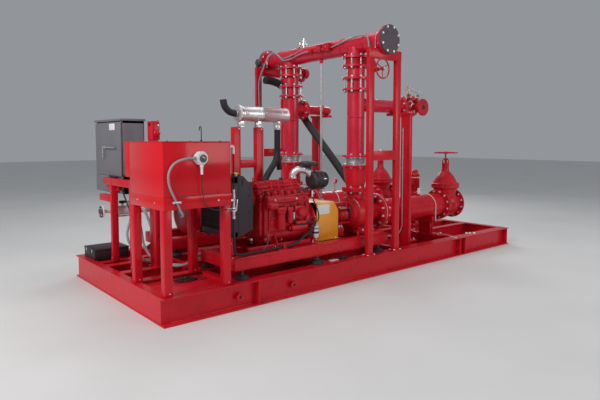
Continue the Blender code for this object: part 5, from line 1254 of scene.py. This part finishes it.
def cabinet():
    low, high = Vector((-2.627, 0.36, 1.02)), Vector((-2.38, 1.15, 1.84))
    wall = 0.012
    piece = Piece("cabinet_case")
    piece.box((high.x - wall, low.y, low.z), high, GREY, 0.003)
    piece.box(low, (high.x, low.y + 0.03, high.z), GREY, 0.003)
    piece.box((low.x, high.y - 0.03, low.z), high, GREY, 0.003)
    piece.box((low.x, low.y, high.z - 0.04), high, GREY, 0.003)
    piece.box(low, (high.x, high.y, 1.235), GREY, 0.003)
    piece.box((low.x - 0.024, low.y + 0.38, low.z), (low.x + 0.001, high.y, 1.2125), GREY, 0.003)
    piece.box((low.x - 0.03, low.y - 0.012, high.z - 0.012),
              (high.x + 0.012, high.y + 0.012, high.z + 0.012), GREY, 0.004)
    for z in (1.203, 1.8163):
        piece.box((low.x - 0.018, low.y + 0.004, z), (low.x + 0.005, low.y + 0.033, z + 0.0117), GREY, 0.002)
    piece.box((high.x - 0.03, low.y + 0.08, 1.26), (high.x - 0.0125, high.y - 0.08, 1.76), GALVANISED, 0.001)
    for k in range(3):
        for column in range(4):
            at = Vector((high.x - 0.055, low.y + 0.17 + column * 0.14, 1.36 + k * 0.15))
            piece.bar(at, (0.05, 0.09, 0.1), PLASTIC if (k + column) % 3 else CONDUIT, 0.003)
    for k in range(3):
        piece.bar((high.x - 0.04, low.y + 0.395, 1.285 + k * 0.15), (0.02, 0.58, 0.012), CONDUIT, 0.002)
    for y in (0.46, 0.58, 0.7):
        piece.lathe([(20, 0), (20, 12), (15, 14), (15, 34)], (-2.47, y, low.z + 0.001), -Z, PLASTIC, 20)
    piece.done("controller_cabinet")
    hinge_x, hinge_y = low.x - 0.006, low.y + 0.008
    door = Piece("door_panel", "door")
    far_y, top = high.y - 0.008, high.z - 0.024
    door.box((hinge_x - 0.018, hinge_y, 1.215), (hinge_x, far_y, top), GREY, 0.004)
    door.bar((hinge_x - 0.0185, 0.61, 1.765), (0.0016, 0.165, 0.072), WHITE, 0.0006)
    at = Vector((hinge_x - 0.018, high.y - 0.31, 1.535))
    door.lathe([(20, 0), (22, 2), (22, 10), (14, 14), (14, 30)], at, -X, ZINC, 24)
    door.tube(shifted(at, (-0.026, 0.004, 0.0), (-0.027, -0.1, 0.001), (-0.027, -0.22, 0.0),
                      (-0.026, -0.365, 0.0)), 0.0075, ZINC, 12, 5)
    door.tube(shifted(at, (-0.026, 0.0, 0.004), (-0.027, 0.0, -0.05), (-0.026, -0.001, -0.115)), 0.0075,
              ZINC, 12, 5)
    for z in (1.3, 1.5, 1.7):
        door.rod((hinge_x - 0.014, hinge_y + 0.001, z - 0.03),
                 (hinge_x - 0.014, hinge_y + 0.001, z + 0.03), 0.0045, GREY, 16)
    door.box((hinge_x, hinge_y + 0.035, 1.25), (hinge_x + 0.003, far_y - 0.035, top - 0.035), RUBBER, 0.001)
    door.done("cabinet_door")
    stand = Piece("cabinet_frame")
    for a, b in ((0.51, 0.565), (-0.045, 0.03)):
        stand.box((-2.71, a, DECK_TOP), (-2.6353, b, 1.198), RED, 0.006)
        stand.bolt((-2.71, (a + b) / 2, DECK + 0.04), -X, 0.008, 0.006)
        stand.bolt((-2.71, (a + b) / 2, 1.05), -X, 0.008, 0.006)
    stand.box((-2.708, -0.04, 1.116), (-2.6373, 0.78, 1.193), RED, 0.006)
    stand.box((-2.706, 0.53, 0.92), (-2.6393, 0.91, 0.995), RED, 0.006)
    stand.box((-2.655, 0.45, 1.05), (-2.6273, 0.76, 1.17), RED, 0.003)
    stand.box((-2.7, 0.545, 1.193), (-2.665, 0.605, 1.207), PLASTIC, 0.004)
    stand.tube([(-2.675, 0.52, 1.199), (-2.668, 0.5, 1.207), (-2.64, 0.49, 1.19), (-2.632, 0.478, 1.139),
                (-2.63, 0.415, 1.075), (-2.63, 0.344, 1.000), (-2.63, 0.285, 0.94), (-2.63, 0.214, 0.863),
                (-2.63, 0.15, 0.76), (-2.62, 0.11, 0.6), (-2.62, 0.1, 0.42), (-2.62, 0.1, 0.262)],
               0.0085, RUBBER, 10, 5)
    stand.done("cabinet_stand")


def small_front_parts():
    battery = Piece("battery_case")
    battery.box((-2.842, 0.716, DECK_TOP), (-2.445, 1.063, 0.352), PLASTIC, 0.006)
    battery.box((-2.846, 0.712, 0.348), (-2.441, 1.067, 0.372), PLASTIC, 0.006)
    battery.box((-2.8455, 0.713, 0.262), (-2.4415, 1.0665, 0.27), BLACK, 0.001)
    battery.box((-2.82, 0.74, 0.371), (-2.465, 1.04, 0.3745), PLASTIC, 0.001)
    for y in (0.8, 0.98):
        battery.box((-2.8475, y - 0.012, 0.33), (-2.843, y + 0.012, 0.365), ZINC, 0.001)
    battery.done("battery_box")
    x, y = -2.428, 0.0
    alarm = Piece("alarm_box")
    alarm.box((x - 0.026, y - 0.045, DECK_TOP), (x + 0.026, y + 0.105, 1.64), RED, 0.005)
    alarm.box((x - 0.04, y - 0.048, 1.617), (x + 0.042, y + 0.085, 1.8), RED, 0.006)
    alarm.box((x - 0.04, y - 0.046, 1.79), (x + 0.01, y + 0.085, 1.818), RED, 0.006)
    alarm.bar((x + 0.018, y - 0.046, 1.806), (0.03, 0.004, 0.034), RED, 0.001, rolled(0.8, "Y"))
    alarm.lathe([(34, 0), (36, 3), (36, 10), (30, 18), (12, 24)], (x + 0.006, y - 0.048, 1.69), -Y, RED,
                32)
    alarm.lathe([(14, 0), (14, 4), (9, 7)], (x + 0.022, y - 0.048, 1.772), -Y, ZINC, 16)
    alarm.rod((x - 0.04, y + 0.02, 1.785), (x - 0.05, y + 0.02, 1.785), 0.016, PLASTIC, 16)
    alarm.lathe([(30, 0), (30, 8), (24, 12), (20, 12)], (x, y + 0.085, 1.73), Y, RED, 32)
    alarm.box((x - 0.045, y - 0.06, DECK_TOP), (x + 0.045, y + 0.115, DECK + 0.008), RED, 0.002)
    alarm.done("alarm_post")
    y, z = LINE_Y - 0.02, 0.815
    barrel = Piece("steel_manifold")
    barrel.lathe([(66, 0), (68, 2), (68, 14), (66, 16), (22, 17), (20, 20), (20, 172), (26, 178),
                  (40, 185), (48, 197), (50, 205), (50, 445), (51.5, 448), (51.5, 452), (50, 455),
                  (50, 690), (45, 708), (30, 720)], (-2.79, y, z), X, BRIGHT, 48)
    barrel.lathe([(64, 0), (66, 2), (66, 6)], (-2.79, y, z), -X, IRON, 40)
    barrel.rod((-2.6, y, z - 0.066), (-2.45, y, z - 0.066), 0.011, BRIGHT, 24, 0.002)
    for x in (-2.59, -2.46):
        barrel.rod((x, y, z - 0.066), (x, y, z - 0.045), 0.009, BRIGHT, 16)
    barrel.tube([(-2.36, y - 0.045, z + 0.01), (-2.345, y - 0.075, z + 0.02),
                 (-2.325, y - 0.105, z - 0.02), (-2.3, y - 0.14, 0.7), (-2.275, y - 0.175, 0.6),
                 (-2.235, y - 0.205, 0.51), (-2.17, y - 0.225, 0.445), (-2.1003, y - 0.23, 0.42)], 0.0165,
                BRAID, 16, 6)
    barrel.rod((-2.36, y - 0.03, z + 0.008), (-2.349, y - 0.07, z + 0.018), 0.021, BRIGHT, 20, 0.003)
    barrel.rod((-2.118, y - 0.229, 0.424), (-2.1003, y - 0.23, 0.42), 0.021, BRIGHT, 20, 0.002)
    barrel.bolts((-2.796, y, z), -X, 0.05, 4, 0.009, 0.008)
    for x in (-2.45, -2.2):
        barrel.lathe([(18, 0), (18, 60), (24, 62), (24, 78), (18, 80), (18, 100)], (x, y, z), Z, BRASS, 24)
    valve = Vector((-2.45, y, z + 0.088))
    barrel.box(valve - Vector((0.03, 0.02, 0.0)), valve + Vector((0.03, 0.02, 0.012)), PLASTIC, 0.004)
    barrel.rod((-2.545, y, z + 0.045), (-2.545, y, z + 0.078), 0.016, BRIGHT, 20, 0.002)
    barrel.bar((-2.54, y, z + 0.094), (0.085, 0.045, 0.03), PLASTIC, 0.008)
    barrel.done("stainless_manifold")


def drains():
    top = 2.6497
    piece = Piece("drain_tube")
    low = DECK_TOP
    piece.rod((RISER_X, 0, low), (RISER_X, 0, top), 0.015, GALVANISED, 20)
    for z in (2.02, low, 1.14):
        piece.lathe([(17, 0), (22, 4), (22, 18), (19, 20), (19, 32), (22, 34), (22, 46), (17, 50)],
                    (RISER_X, 0, z), Z, GALVANISED, 24)
    piece.done("drain_pipe")


# Skid and bases

def base(side):
    """Channel rails and a front beam on black rubber mounts, with sills between them."""
    low, high = BASE_LOW, BASE_HIGH
    y_low, y_high = 0.315, 1.035
    name = "diesel_base" if side == NEAR else "electric_base"
    piece = Piece(f"{name}_frame")
    for inner in (y_low, y_high - 0.12):
        a, b = sorted((side * inner, side * (inner + 0.12)))
        piece.box((-2.1, a, low), (0.16, b, high), RED, 0.007)
        for z in (low + 0.012, high - 0.012):
            outer = side * (y_high + 0.0005)
            piece.rod((-2.09, outer, z), (0.15, outer, z), 0.0022, RED, 8)
    a, b = sorted((side * (y_low + 0.01), side * (y_high - 0.01)))
    piece.box((-2.099, a, low + 0.001), (-2.009, b, high - 0.001), RED, 0.006)
    for x in (-1.55, -1.0, -0.44, 0.11):
        piece.box((x - 0.045, a, 0.337), (x + 0.045, b, 0.437), RED, 0.005)
        for edge in (y_low + 0.12, y_high - 0.12):
            for turn in (-1, 1):
                piece.rod((x + turn * 0.047, side * edge, 0.345), (x + turn * 0.047, side * edge, 0.43),
                          0.005, RED, 8)
    for x in (-2.01, -1.01, -0.01):
        for y in (y_low + 0.06, y_high - 0.015):
            foot = Vector((x, side * y, DECK_TOP))
            piece.lathe([(66, 0), (69, 3), (69, 14), (62, 26), (50, 36), (36, 44), (24, 48)], foot, Z,
                        RUBBER, 40)
            piece.rod(foot + Z * 0.04, (x, side * y, low), 0.011, IRON, 16, 0.001)
            piece.lathe([(20, 0), (20, 10)], foot + Z * 0.047, Z, IRON, 6)
            piece.lathe([(20, 0), (20, 12)], (x, side * y, low), -Z, IRON, 6)
            for k in range(2):
                piece.bolt(foot + Vector((0.056 * (2 * k - 1), 0, 0.018)), Z, 0.008, 0.01, 0, IRON)
    for x in (-1.445, -0.33):
        ring_y = side * 0.995
        piece.lathe([(20, 0), (22, 3), (22, 12), (10, 16)], (x, ring_y, high), Z, RED, 20)
        piece.ring((x, ring_y, high + 0.042), (0.5, side * 0.86, 0), 0.028, 0.008, RED, 36, 12)
    piece.lathe([(20, 0), (22, 3), (22, 12), (10, 16)], (-1.72, side * 0.34, high), Z, RED, 20)
    piece.ring((-1.72, side * 0.34, high + 0.036), (0.7, -0.7, 0), 0.024, 0.009, RED, 36, 12)
    if side == NEAR:
        for a, b in ((-0.955, -0.9), (-0.84, -0.76)):
            piece.box((-2.085, a, high - 0.01), (-2.045, b, 0.66), RED, 0.004)
        piece.bolt((-2.085, -0.945, 0.6), -X, 0.008, 0.006)
        piece.box((-2.03, -0.975, 0.555), (-1.99, -0.945, 0.563), RED, 0.003)
        piece.bolt((-2.095, -0.99, high), Z, 0.006, 0.006)
        piece.box((-2.1, -0.84, DECK + 0.0015), (-2.03, -0.79, DECK + 0.01), BRIGHT, 0.002)
        piece.box((-0.82, -1.045, DECK + 0.0005), (-0.7, -0.985, DECK + 0.007), BRIGHT, 0.002)
        for k in range(4):
            piece.ring((-0.645 + 0.008 * k, -1.055 + 0.006 * (k % 2), DECK + 0.0045 + 0.008 * k),
                       (0.1, 0.05, 1), 0.034, 0.004, RUBBER, 28, 8)
    else:
        piece.box((-2.1, 0.6, 0.4), (-2.05, 0.65, 0.762), RED, 0.004)
        piece.box((-2.108, 0.585, 0.7645), (-2.042, 0.665, 0.7647), RED)
        piece.ring((-2.075, LINE_Y - 0.02, 0.815), X, 0.0515, 0.004, ZINC, 40, 8)
    piece.done(name)


def skid():
    piece = Piece("skid_welds_and_lugs")
    for side in SIDES:
        for x in (-2.11, -1.44):
            out = Y * side
            spot = Vector((x, side * 1.13, 0.115))
            piece.lathe([(36, 0), (38, 3), (38, 10), (34, 13), (18, 13), (18, 4)], spot, out, RED, 32)
            # The black disc in each lug's bore is painted shade, standing for the dark hole.
            piece.lathe([(17, 0), (17, 5.5)], spot, out, BLACK, 24)
        for middle in (-1.9, 1.59, 1.71):
            for x in (middle - 0.0075, middle + 0.0075):
                piece.rod((x, side * 1.098, 0.014), (x, side * 1.098, 0.236), 0.003, RED, 8)
        for z in (0.0135, 0.2365):
            for across in (side * 1.0965, side * 1.0835):
                piece.rod((-2.81, across, z), (2.81, across, z), 0.0045, RED, 8)
        for end in (-1, 1):
            piece.rod((end * 2.8195, side * 1.02, DECK), (end * 2.8195, side * 1.16, DECK), 0.003, RED, 8)
    for z in (0.0135, 0.2365):
        piece.rod((2.871, -1.155, z), (2.871, 1.155, z), 0.0045, RED, 8)
        piece.rod((-2.906, -1.09, z), (-2.906, 1.09, z), 0.0025, RED, 8)
    for x in (-2.11, -0.86, 0.39, 1.64):
        for y in (-0.99, -0.47, -0.36, -0.05, 0.05, 0.36, 0.47, 0.99):
            piece.rod((x - 0.034, y, 0.2475), (x + 0.034, y, 0.2475), 0.0028, RED, 6)
    piece.box((1.52, -1.145, 0.2512), (1.545, -1.03, 0.256), BRIGHT, 0.001)
    piece.box((1.548, -1.145, 0.2512), (1.568, -1.03, 0.254), BLACK, 0.001)
    for x, y in ((1.915, -1.045), (1.955, -1.075), (2.005, -1.115)):
        piece.rod((x, y, 0.2515), (x, y, 0.272), 0.018, BRIGHT, 16, 0.003)
    deck = 0.213
    for y in (-1.005, -0.47):
        piece.rod((-2.8, y, deck), (-2.13, y, deck), 0.004, RED, 8)
    for y in (-0.66, -0.83):
        piece.box((-2.78, y - 0.003, deck), (-2.16, y + 0.003, deck + 0.0015), RED)
    piece.done()


def coil():
    """Small loose hank of thin black cable on the front deck plate."""
    piece = Piece("cable_hank")
    centre = Vector((-2.4, -0.6, 0.219))
    route = []
    for k in range(96):
        turn = 2 * pi * k / 16
        lift = 0.004 * (k // 16) + 0.004 * sin(turn * 1.5)
        wide, deep = 0.105 + 0.022 * sin(0.7 * k), 0.052 + 0.018 * cos(1.1 * k)
        route.append(centre + Vector((wide * cos(turn) + 0.02 * sin(0.21 * k), deep * sin(turn),
                                      max(lift, 0.0))))
    piece.tube(route, 0.0034, RUBBER, 8, 3)
    piece.tube([centre + Vector(p) for p in ((0.08, -0.02, 0), (0.12, -0.05, 0), (0.17, -0.06, 0),
                                             (0.21, -0.03, 0.001), (0.2, 0.01, 0.002),
                                             (0.15, 0.02, 0.002), (0.1, 0.0, 0.004))], 0.003, RUBBER, 8, 5)
    piece.box(centre + Vector((-0.006, -0.055, -0.004)), centre + Vector((0.004, 0.055, 0.018)), PLASTIC,
              0.003)
    piece.done()


# Hoses and fittings

def front_fittings():
    piece = Piece("front_fittings")
    face = TANK_LOW.y
    side = TANK_HIGH.x + CLEAR
    edge, valve_y = -2.155, face + 0.03
    piece.tube([(side, valve_y, 1.556), (edge - 0.012, valve_y, 1.556), (edge, valve_y, 1.545),
                (edge, valve_y, 1.5)], 0.0125, WHITE, 16, 5)
    piece.rod((side, valve_y, 1.556), (side + 0.012, valve_y, 1.556), 0.019, WHITE, 20, 0.002)
    piece.rod((edge, valve_y, 1.485), (edge, valve_y, 1.525), 0.015, WHITE, 16, 0.002)
    piece.tube([(edge, valve_y, 1.49), (edge + 0.002, valve_y, 1.38), (edge - 0.001, valve_y, 1.26),
                (edge, valve_y, 1.14)], 0.0065, RUBBER, 12, 5)
    piece.rod((edge, valve_y, 1.1), (edge, valve_y, 1.15), 0.014, ZINC, 16, 0.003)
    steel = [(0.016, 0), (0.018, 0.003), (0.018, 0.022), (0.013, 0.025), (0.013, 0.06), (0.022, 0.065),
             (0.024, 0.085), (0.022, 0.105), (0.014, 0.11), (0.014, 0.165), (0.018, 0.168), (0.018, 0.19),
             (0.015, 0.24)]
    piece.turned(steel, (edge, valve_y, 0.872), Z, ZINC, 24)
    piece.tube([(side, valve_y, 1.05), (edge - 0.012, valve_y, 1.05), (edge, valve_y, 1.04),
                (edge, valve_y, 1.01)], 0.0145, ZINC, 16, 4)
    piece.lathe([(7, 0), (12, 2), (12, 30), (9, 34), (9, 70), (13, 73), (13, 95)],
                (edge - 0.1, valve_y - 0.035, 0.972), X, ZINC, 16)
    piece.bar((edge + 0.022, valve_y - 0.02, 1.0), (0.01, 0.01, 0.11), ZINC, 0.003, rolled(0.12, "Y"))
    piece.rod((edge, valve_y - 0.03, 0.96), (edge, valve_y, 0.96), 0.009, ZINC, 12)
    piece.tube([(edge, valve_y, 0.886), (edge, valve_y, 0.76), (edge + 0.002, valve_y, 0.62),
                (edge + 0.02, valve_y + 0.01, 0.54), (-2.08, -1.04, 0.51), (-1.98, -1.005, 0.49),
                (-1.84, -0.98, 0.482), (-1.68, -0.975, 0.483), (-1.57, -0.975, 0.49),
                (-1.42, -0.975, 0.492), (-1.28, -0.965, 0.5), (-1.18, -0.95, 0.54),
                (-1.1, -0.935, 0.575), (-1.054, -0.935, 0.58), (-1.0303, -0.935, 0.58)], 0.0122, RUBBER,
               14, 5)
    piece.rod((-1.07, -0.935, 0.579), (-1.0303, -0.935, 0.58), 0.015, RUBBER, 16, 0.003)
    piece.done("fuel_hose")
    clamps = Piece("gauge_conduit")
    y, gauge_y = face - 0.028, face - 0.0403
    start = GAUGE.x - 0.0953
    clamps.tube([(start, gauge_y, GAUGE.z), (start - 0.02, gauge_y, GAUGE.z),
                 (start - 0.04, gauge_y, GAUGE.z), (-2.74, gauge_y + 0.006, 1.438),
                 (-2.8, y - 0.004, 1.405), (-2.84, y, 1.335), (-2.844, y, 1.262), (-2.825, y, 1.188),
                 (-2.79, y, 1.115), (-2.74, y, 1.01), (-2.712, y + 0.006, 0.96), (-2.7, -1.1, 0.94),
                 (-2.7, -1.07, 0.965), (-2.7, -1.065, 0.9877), (-2.7, -1.065, 1.0077)], 0.0102, CONDUIT,
                14, 5)
    clamps.box((-2.81, face - 0.04, 1.073), (-2.74, face - 0.004, 1.084), ZINC, 0.002)
    for x in (-2.804, -2.744):
        clamps.lathe([(12, 0), (12, 5), (6, 10)], (x, face - 0.038, 1.078), -Y, ZINC, 16)
    clamps.done("tank_conduit")
    cable = Piece("gauge_cable")
    low = GAUGE.z - 0.1453
    cable.tube([(GAUGE.x, gauge_y, low), (GAUGE.x, gauge_y, low - 0.01), (GAUGE.x, gauge_y, low - 0.02),
                (-2.522, y, 1.16), (-2.49, y, 1.045), (-2.41, y, 0.986), (-2.3, y, 0.978),
                (-2.2, y - 0.004, 0.973), (-2.16, y + 0.01, 0.97), (edge, valve_y - 0.0183, 0.97)],
               0.0046, RUBBER, 10, 4)
    cable.done("tank_cable")


def engine_hoses():
    piece = Piece("engine_hoses")
    y = -0.9
    filter_at = Vector((-0.96, -0.935, 0.5))
    profile = [(0.006, 0), (0.01, 0.002), (0.01, 0.014), (0.024, 0.018), (0.03, 0.03), (0.03, 0.052),
               (0.036, 0.056), (0.036, 0.07), (0.03, 0.074), (0.03, 0.098), (0.036, 0.102),
               (0.037, 0.118), (0.03, 0.122), (0.03, 0.14), (0.04, 0.145), (0.04, 0.165),
               (0.02, 0.172), (0.018, 0.195), (0.01, 0.2)]
    piece.turned([(radius * 1.2, along) for radius, along in profile], filter_at, Z, ZINC, 32)
    piece.lathe([(36.5, 0), (36.5, 20)], filter_at + Z * 0.076, Z, PLASTIC, 32)
    piece.lathe([(36.5, 0), (36.5, 8)], filter_at + Z * 0.128, Z, PLASTIC, 32)
    piece.tube([(-1.06, -0.935, 0.588), (-1.045, -0.945, 0.612), (-1.015, -0.955, 0.645),
                (-0.985, -0.955, 0.676), (-0.967, -0.945, 0.692), (filter_at.x, filter_at.y, 0.697)],
               0.0115, RUBBER, 14, 5)
    piece.box((filter_at.x - 0.02, filter_at.y, 0.64), (filter_at.x + 0.02, -0.85, 0.68), CAST, 0.003)
    piece.tube([(-1.235, -0.872, 0.845), (-1.245, -0.895, 0.825), (-1.248, y, 0.79),
                (-1.235, y - 0.005, 0.74), (-1.19, y - 0.01, 0.7), (-1.12, y - 0.01, 0.688),
                (-1.05, y - 0.012, 0.7), (-0.99, y - 0.022, 0.705), (-0.955, filter_at.y + 0.006, 0.7),
                (filter_at.x, filter_at.y, 0.694)], 0.009, RUBBER, 12, 5)
    piece.rod((-1.247, y, 0.755), (-1.247, y, 0.835), 0.011, WHITE, 16, 0.003)
    piece.tube([(-0.998, -0.865, 1.09), (-1.03, y, 1.088), (-1.09, y - 0.004, 1.083),
                (-1.155, y - 0.004, 1.072), (-1.185, y - 0.002, 1.045), (-1.186, y, 1.012),
                (-1.165, y, 0.985), (-1.135, -0.885, 0.972), (-1.12, -0.862, 0.97)], 0.01, RUBBER, 12, 5)
    piece.tube([(-0.985, -0.87, 1.06), (-0.988, y - 0.01, 1.04), (-0.985, y - 0.015, 0.98),
                (-0.955, y - 0.02, 0.9), (-0.915, y - 0.03, 0.81), (-0.912, y - 0.034, 0.75),
                (-0.93, filter_at.y, 0.705)], 0.0065, RUBBER, 10, 5)
    piece.rod((-0.988, y - 0.012, 0.985), (-0.988, y - 0.012, 1.055), 0.009, WHITE, 14, 0.002)
    piece.done()


def header_cables():
    x = RISER_X - 0.16
    foot = 0.2629
    piece = Piece("header_cables")
    for side in SIDES:
        start = -0.078 if side == NEAR else 0.088
        lead = [(x, start + side * step, 2.8) for step in (0, 0.01, 0.02)]
        if side == NEAR:
            middle = [(x, -0.16, 2.8), (x + 0.025, -0.3, 2.8), (x + 0.03, -0.47, 2.83),
                      (x + 0.045, -0.64, 2.87), (x + 0.055, -0.81, 2.885), (x + 0.035, -0.93, 2.86),
                      (x, -1.0, 2.77)]
        else:
            middle = [(x, 0.17, 2.8), (x + 0.025, 0.32, 2.785), (x + 0.03, 0.5, 2.755),
                      (x + 0.025, 0.66, 2.755), (x + 0.045, 0.8, 2.835), (x + 0.06, 0.91, 2.89),
                      (x + 0.02, 0.995, 2.84)]
        wall = side * 1.0745
        down = [(-0.225, wall - side * 0.04, 2.68), (-0.255, wall - side * 0.02, 2.56), (-0.265, wall, 2.43),
                (-0.265, wall, 2.36), (-0.265, wall, foot)]
        piece.tube(lead + middle + down, 0.0092, CONDUIT, 14, 5)
        for z in (2.3, 1.9, 1.2, 0.6):
            piece.box((-0.283, min(wall, side * 1.085), z - 0.007),
                      (-0.247, max(wall, side * 1.085), z + 0.007), ZINC, 0.001)
    piece.done("header_conduit")
    extra = Piece("far_cable")
    extra.tube([(-0.27, 1.068, 1.6), (-0.285, 1.066, 2.2), (-0.292, 1.062, 2.45), (-0.25, 1.045, 2.62),
                (-0.17, 1.01, 2.82), (-0.13, 0.95, 2.905), (-0.12, 0.86, 2.87), (-0.128, 0.7, 2.79),
                (-0.13, 0.55, 2.8), (-0.12, 0.4, 2.83), (-0.1, 0.3, 2.87), (-0.06, 0.25, 2.905)],
               0.0085, CONDUIT, 12, 5)
    extra.done()


def cabinet_hoses():
    """Braided hoses from under the cabinet, over the deck, to the front of the diesel's base."""
    piece = Piece("cabinet_tails")
    top = 1.0197
    deck = DECK + 0.0145
    front = -2.1003
    piece.box((-2.54, 0.38, top - 0.012), (-2.395, 0.49, top), PLASTIC, 0.002)
    upper = [(-2.5, 0.42, top - 0.006), (-2.5, 0.42, 0.95), (-2.56, 0.36, 0.75), (-2.64, 0.27, 0.58),
             (-2.6, 0.2, 0.42), (-2.5, 0.17, 0.31), (-2.4, 0.16, deck + 0.004), (-2.36, 0.06, deck),
             (-2.33, -0.06, deck), (-2.26, -0.17, deck), (-2.19, -0.26, 0.3), (-2.145, -0.335, 0.38),
             (front - 0.024, -0.375, 0.405), (front - 0.012, -0.375, 0.405), (front, -0.375, 0.405)]
    lower = [(-2.43, 0.45, top - 0.006), (-2.43, 0.45, 0.85), (-2.41, 0.43, 0.6), (-2.4, 0.38, 0.42),
             (-2.37, 0.29, 0.31), (-2.34, 0.19, deck + 0.004), (-2.325, 0.06, deck), (-2.29, -0.05, deck),
             (-2.22, -0.15, deck), (-2.155, -0.245, 0.28), (-2.135, -0.33, 0.335),
             (front - 0.024, -0.375, 0.36), (front - 0.012, -0.375, 0.36), (front, -0.375, 0.36)]
    for route in (upper, lower):
        piece.tube(route, 0.0132, CONDUIT, 16, 5)
        piece.lathe([(14, 0), (20, 2), (20, 20), (15, 23), (15, 50)], route[0], -Z, ZINC, 16)
        piece.lathe([(14, 0), (18, 2), (18, 18), (14, 21)], route[-1], -X, ZINC, 16)
    piece.done("cabinet_hoses")


def duct():
    piece = Piece("duct_tube")
    x = 0.3
    route = [(-0.225, 1.0, 2.5), (-0.08, 1.0, 2.49), (0.08, 1.0, 2.44), (0.21, 0.96, 2.32),
             (0.29, 0.83, 2.1), (0.305, 0.7, 1.92), (x, 0.42, 1.655), (x, 0.05, 1.305), (x, -0.3, 0.97),
             (x, -0.4, 0.9)]
    piece.tube(route, 0.054, LAGGING, 28, 8)
    for k in range(9):
        along = k / 8
        spot = Vector((-0.2 + 0.26 * along, 1.0, 2.502 - 0.045 * along * along))
        piece.ring(spot, (1, 0, -0.25 * along), 0.054, 0.005, RUBBER, 32, 8)
    piece.box((-0.19, 0.99, 2.475), (-0.14, 1.0847, 2.525), RED, 0.003)
    piece.box((x - 0.09, -0.705, 0.8203), (x - 0.005, -0.33, 0.87), LAGGING, 0.008)
    piece.ring((x, -0.225, 1.042), (0, 0.69, 0.72), 0.056, 0.006, ZINC, 40, 8)
    piece.done("slanted_duct")


# Camera, light and floor

def camera():
    """The photo's viewpoint, found from the skid's corners: angles are in degrees."""
    look_down, heading = 3.965, 49.73
    data = bpy.data.cameras.new("camera")
    data.sensor_width = 36.0
    data.lens = 31.378
    data.shift_y = -0.0374
    eye = bpy.data.objects.new("camera", data)
    eye.location = (-4.8525, -5.2595, 1.6034)
    eye.rotation_euler = (radians(90 - look_down), 0, radians(heading - 90))
    bpy.context.scene.collection.objects.link(eye)
    bpy.context.scene.camera = eye


def area_light(name, place, target, size, power, colour=(1, 1, 1)):
    data = bpy.data.lights.new(name, "AREA")
    data.shape = "RECTANGLE"
    data.size, data.size_y = size
    data.energy = power
    data.color = colour
    lamp = bpy.data.objects.new(name, data)
    lamp.location = place
    lamp.rotation_euler = (Vector(target) - Vector(place)).to_track_quat("-Z", "Y").to_euler()
    bpy.context.scene.collection.objects.link(lamp)


def studio():
    world = bpy.data.worlds.new("studio")
    world.use_nodes = True
    background = world.node_tree.nodes["Background"]
    background.inputs["Color"].default_value = (0.8, 0.84, 0.9, 1)
    background.inputs["Strength"].default_value = 0.36
    bpy.context.scene.world = world
    area_light("key", (-9.0, -2.2, 6.0), (-0.8, 0, 1.0), (4.0, 3.0), 530, (1.0, 0.98, 0.97))
    area_light("front", (3.2, -8.0, 3.2), (0.6, 0, 1.2), (6.0, 2.5), 155)
    area_light("top", (1.0, 1.0, 7.5), (0, 0, 0), (6.0, 5.0), 120)
    area_light("back", (5.5, 5.5, 4.5), (0, 0, 1.2), (3.0, 2.5), 150)
    mesh = bpy.data.meshes.new("floor")
    half = 40.0
    mesh.from_pydata([(-half, -half, 0), (half, -half, 0), (half, half, 0), (-half, half, 0)], [],
                     [(0, 1, 2, 3)])
    floor = bpy.data.objects.new("floor", mesh)
    floor.location.z = -0.002
    mesh.materials.append(surface("pale_floor", (0.72, 0.72, 0.71), (0.68, 0.68, 0.67), (0.6, 0.7), scale=0.8,
                                  fine=30.0, bump=0.05))
    bpy.context.scene.collection.objects.link(floor)
    bpy.context.scene.view_settings.view_transform = "Standard"


# Finishes of the parts that show as they are

PLAIN = {
    "cabinet_hoses": CONDUIT, "tank_conduit": CONDUIT, "tank_cable": RUBBER, "fuel_hose": RUBBER,
    "header_conduit": CONDUIT, "skid_": RED, "diesel_base": RED, "electric_base": RED,
    "pump_": CAST, "diesel_engine": CAST, "electric_motor": CAST, "suction_pipe": RED, "gate_": CAST,
    "riser": PIPE, "header": PIPE, "blind": IRON, "bellows": STEEL, "butterfly": CAST, "relief": CAST,
    "branch_post": RED, "portal": RED, "jockey": CAST, "slanted": LAGGING, "radiator": SHROUD,
    "air_filter": PLASTIC, "coupling_guard": YELLOW, "silencer_stand": RED, "silencer": STEEL,
    "exhaust": LAGGING, "tailpipe": LAGGING,
    "fuel_tank": TANK, "tank_lid": TANK, "tank_stand": RED, "level_gauge": WHITE, "controller": GREY,
    "cabinet_door": GREY, "cabinet_stand": RED, "battery": PLASTIC, "alarm": RED, "stainless": STEEL,
    "drain": GALVANISED,
}


def plain_finishes():
    """Each CAD node gets its finish, softened edges and smooth shading."""
    for name, node in NODES.items():
        look = next(PLAIN[start] for start in PLAIN if name.startswith(start))
        node.data.materials.clear()
        node.data.materials.append(look)
        soften = node.modifiers.new("soften", "BEVEL")
        soften.width = 0.0025
        soften.segments = 2
        soften.limit_method = "ANGLE"
        soften.angle_limit = radians(50)
        soften.harden_normals = False
        node.data.shade_smooth()
        node.data.set_sharp_from_angle(angle=SHARP_ANGLE)


def main():
    plain_finishes()
    for side, branch_end in ((NEAR, 0.83), (FAR, 0.2)):
        riser(side, branch_end)
        bellows(side)
        butterfly(side)
        pump(side)
        suction(side)
        gate_valve(side)
    header()
    relief_near()
    relief_far()
    branch_post(NEAR, 1.9807)
    branch_post(FAR, 2.0027)
    jockey()
    portals()
    boxes_on_header()
    engine()
    radiator()
    air_filter()
    motor()
    guards()
    exhaust()
    tank()
    gauge()
    cabinet()
    small_front_parts()
    drains()
    base(NEAR)
    base(FAR)
    skid()
    coil()
    front_fittings()
    engine_hoses()
    header_cables()
    cabinet_hoses()
    duct()
    camera()
    studio()


main()
